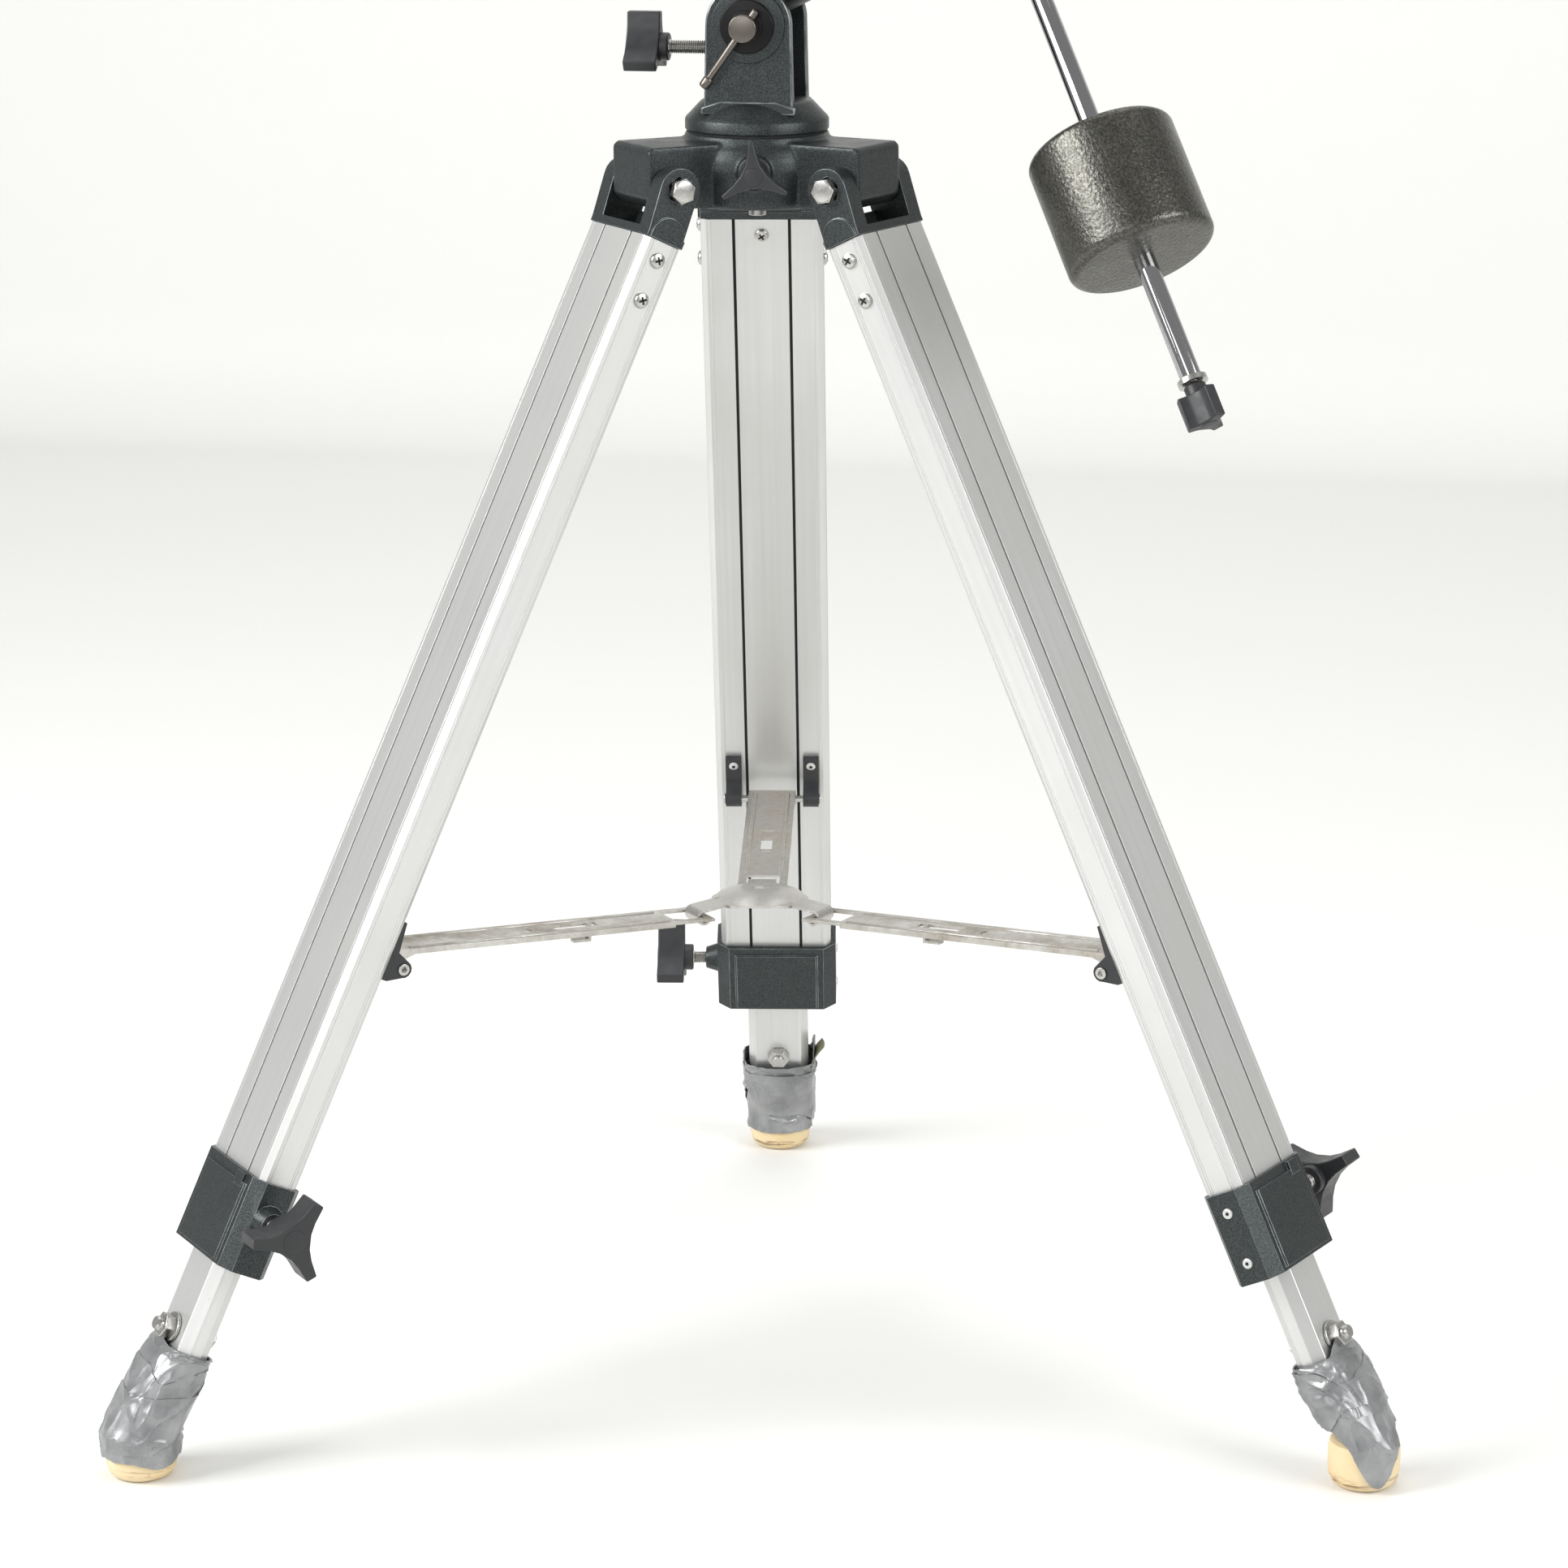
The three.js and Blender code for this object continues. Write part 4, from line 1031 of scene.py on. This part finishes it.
def counterweight():
    """Iron weight with rounded rims and its bore, the chromed bar and the end knob."""
    half, bore = WEIGHT_TALL / 2, 6.6
    profile = rounded(WEIGHT_RADIUS, -half, half, 5.0, 8)
    profile.insert(1, (bore, -half))
    profile.insert(-1, (bore, half))
    weight = lathe("counterweight_cast", profile, WEIGHT, IRON, "counterweight", 160)
    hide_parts("counterweight")
    finish_node("counterweight_knob", PLASTIC, 0.8)
    bar = rod("counterweight_bar", 6, -SHAFT_END, -30.2, DEC, CHROME, "polar_rotor", steps=64, edge=0.4)
    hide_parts("counterweight_shaft")
    washer = [(0, -SHAFT_END - 2), (8.4, -SHAFT_END - 2), (8.4, -SHAFT_END + 1), (0, -SHAFT_END + 1)]
    lathe("shaft_washer", washer, DEC, STEEL, "polar_rotor", 64)
    knob = DEC @ shift(z=-SHAFT_END - 3) @ turn("Y", -90) @ turn("X", 80)
    hand_knob("shaft_end_handle", knob, "shaft_end_knob", 12, 5.6, 3.2, 15, 6.2, 9)
    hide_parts("shaft_end_knob")


# ---- stage ---------------------------------------------------------------------------------------
def stage():
    """Pale floor that sweeps up into a pale wall, and soft studio light."""
    depth, rise, radius = 3.0, 4.0, 0.15
    path = [(-6.0, 0.0), (depth - radius, 0.0)]
    path += [(depth - radius + radius * math.sin(a), radius - radius * math.cos(a))
             for a in (math.pi / 2 * i / 8 for i in range(1, 9))]
    path += [(depth, rise)]
    verts = [(x, y, z) for y, z in path for x in (-6, 6)]
    faces = [(2 * i, 2 * i + 1, 2 * i + 3, 2 * i + 2) for i in range(len(path) - 1)]
    mesh = bpy.data.meshes.new("floor")
    mesh.from_pydata(verts, [], faces)
    floor = bpy.data.objects.new("floor", mesh)
    bpy.context.collection.objects.link(floor)
    mesh.materials.append(flat("pale_floor", (0.82, 0.82, 0.80), 0.6))
    soften(floor, 60)
    world = bpy.data.worlds.new("studio")
    world.use_nodes = True
    world.node_tree.nodes["Background"].inputs["Color"].default_value = (1, 1, 1, 1)
    world.node_tree.nodes["Background"].inputs["Strength"].default_value = WORLD_LIGHT
    bpy.context.scene.world = world
    for name, (location, size, power) in LIGHTS.items():
        softbox(name, location, size, power)


def softbox(name, location, size, power):
    """Square area light aimed at the middle of the mount."""
    light = bpy.data.lights.new(name, "AREA")
    light.size = size
    light.energy = power
    lamp = bpy.data.objects.new(name, light)
    lamp.location = location
    lamp.rotation_euler = (Vector((0, 0, 0.5)) - Vector(location)).to_track_quat("-Z", "Y").to_euler()
    bpy.context.collection.objects.link(lamp)


def camera():
    """Long lens, a little above the head and east of south, looking slightly down."""
    data = bpy.data.cameras.new("camera")
    data.lens = CAMERA_LENS
    data.sensor_width = 36
    eye = bpy.data.objects.new("camera", data)
    eye.matrix_world = (TRIPOD @ shift(*CAMERA_AT) @ turn("Z", CAMERA_TURN)
                        @ turn("X", 90 - CAMERA_DIP) @ turn("Z", CAMERA_ROLL))
    bpy.context.collection.objects.link(eye)
    bpy.context.scene.camera = eye


tripod_head()
for number, leg_side in enumerate(LEG_AZIMUTH):
    build_leg(leg_side, number + 1)
spreader_plate()
fork()
latitude_bolt()
latitude_screw()
polar_head()
dec_head()
counterweight()
stage()
camera()
bpy.context.scene.view_settings.view_transform = "Standard"
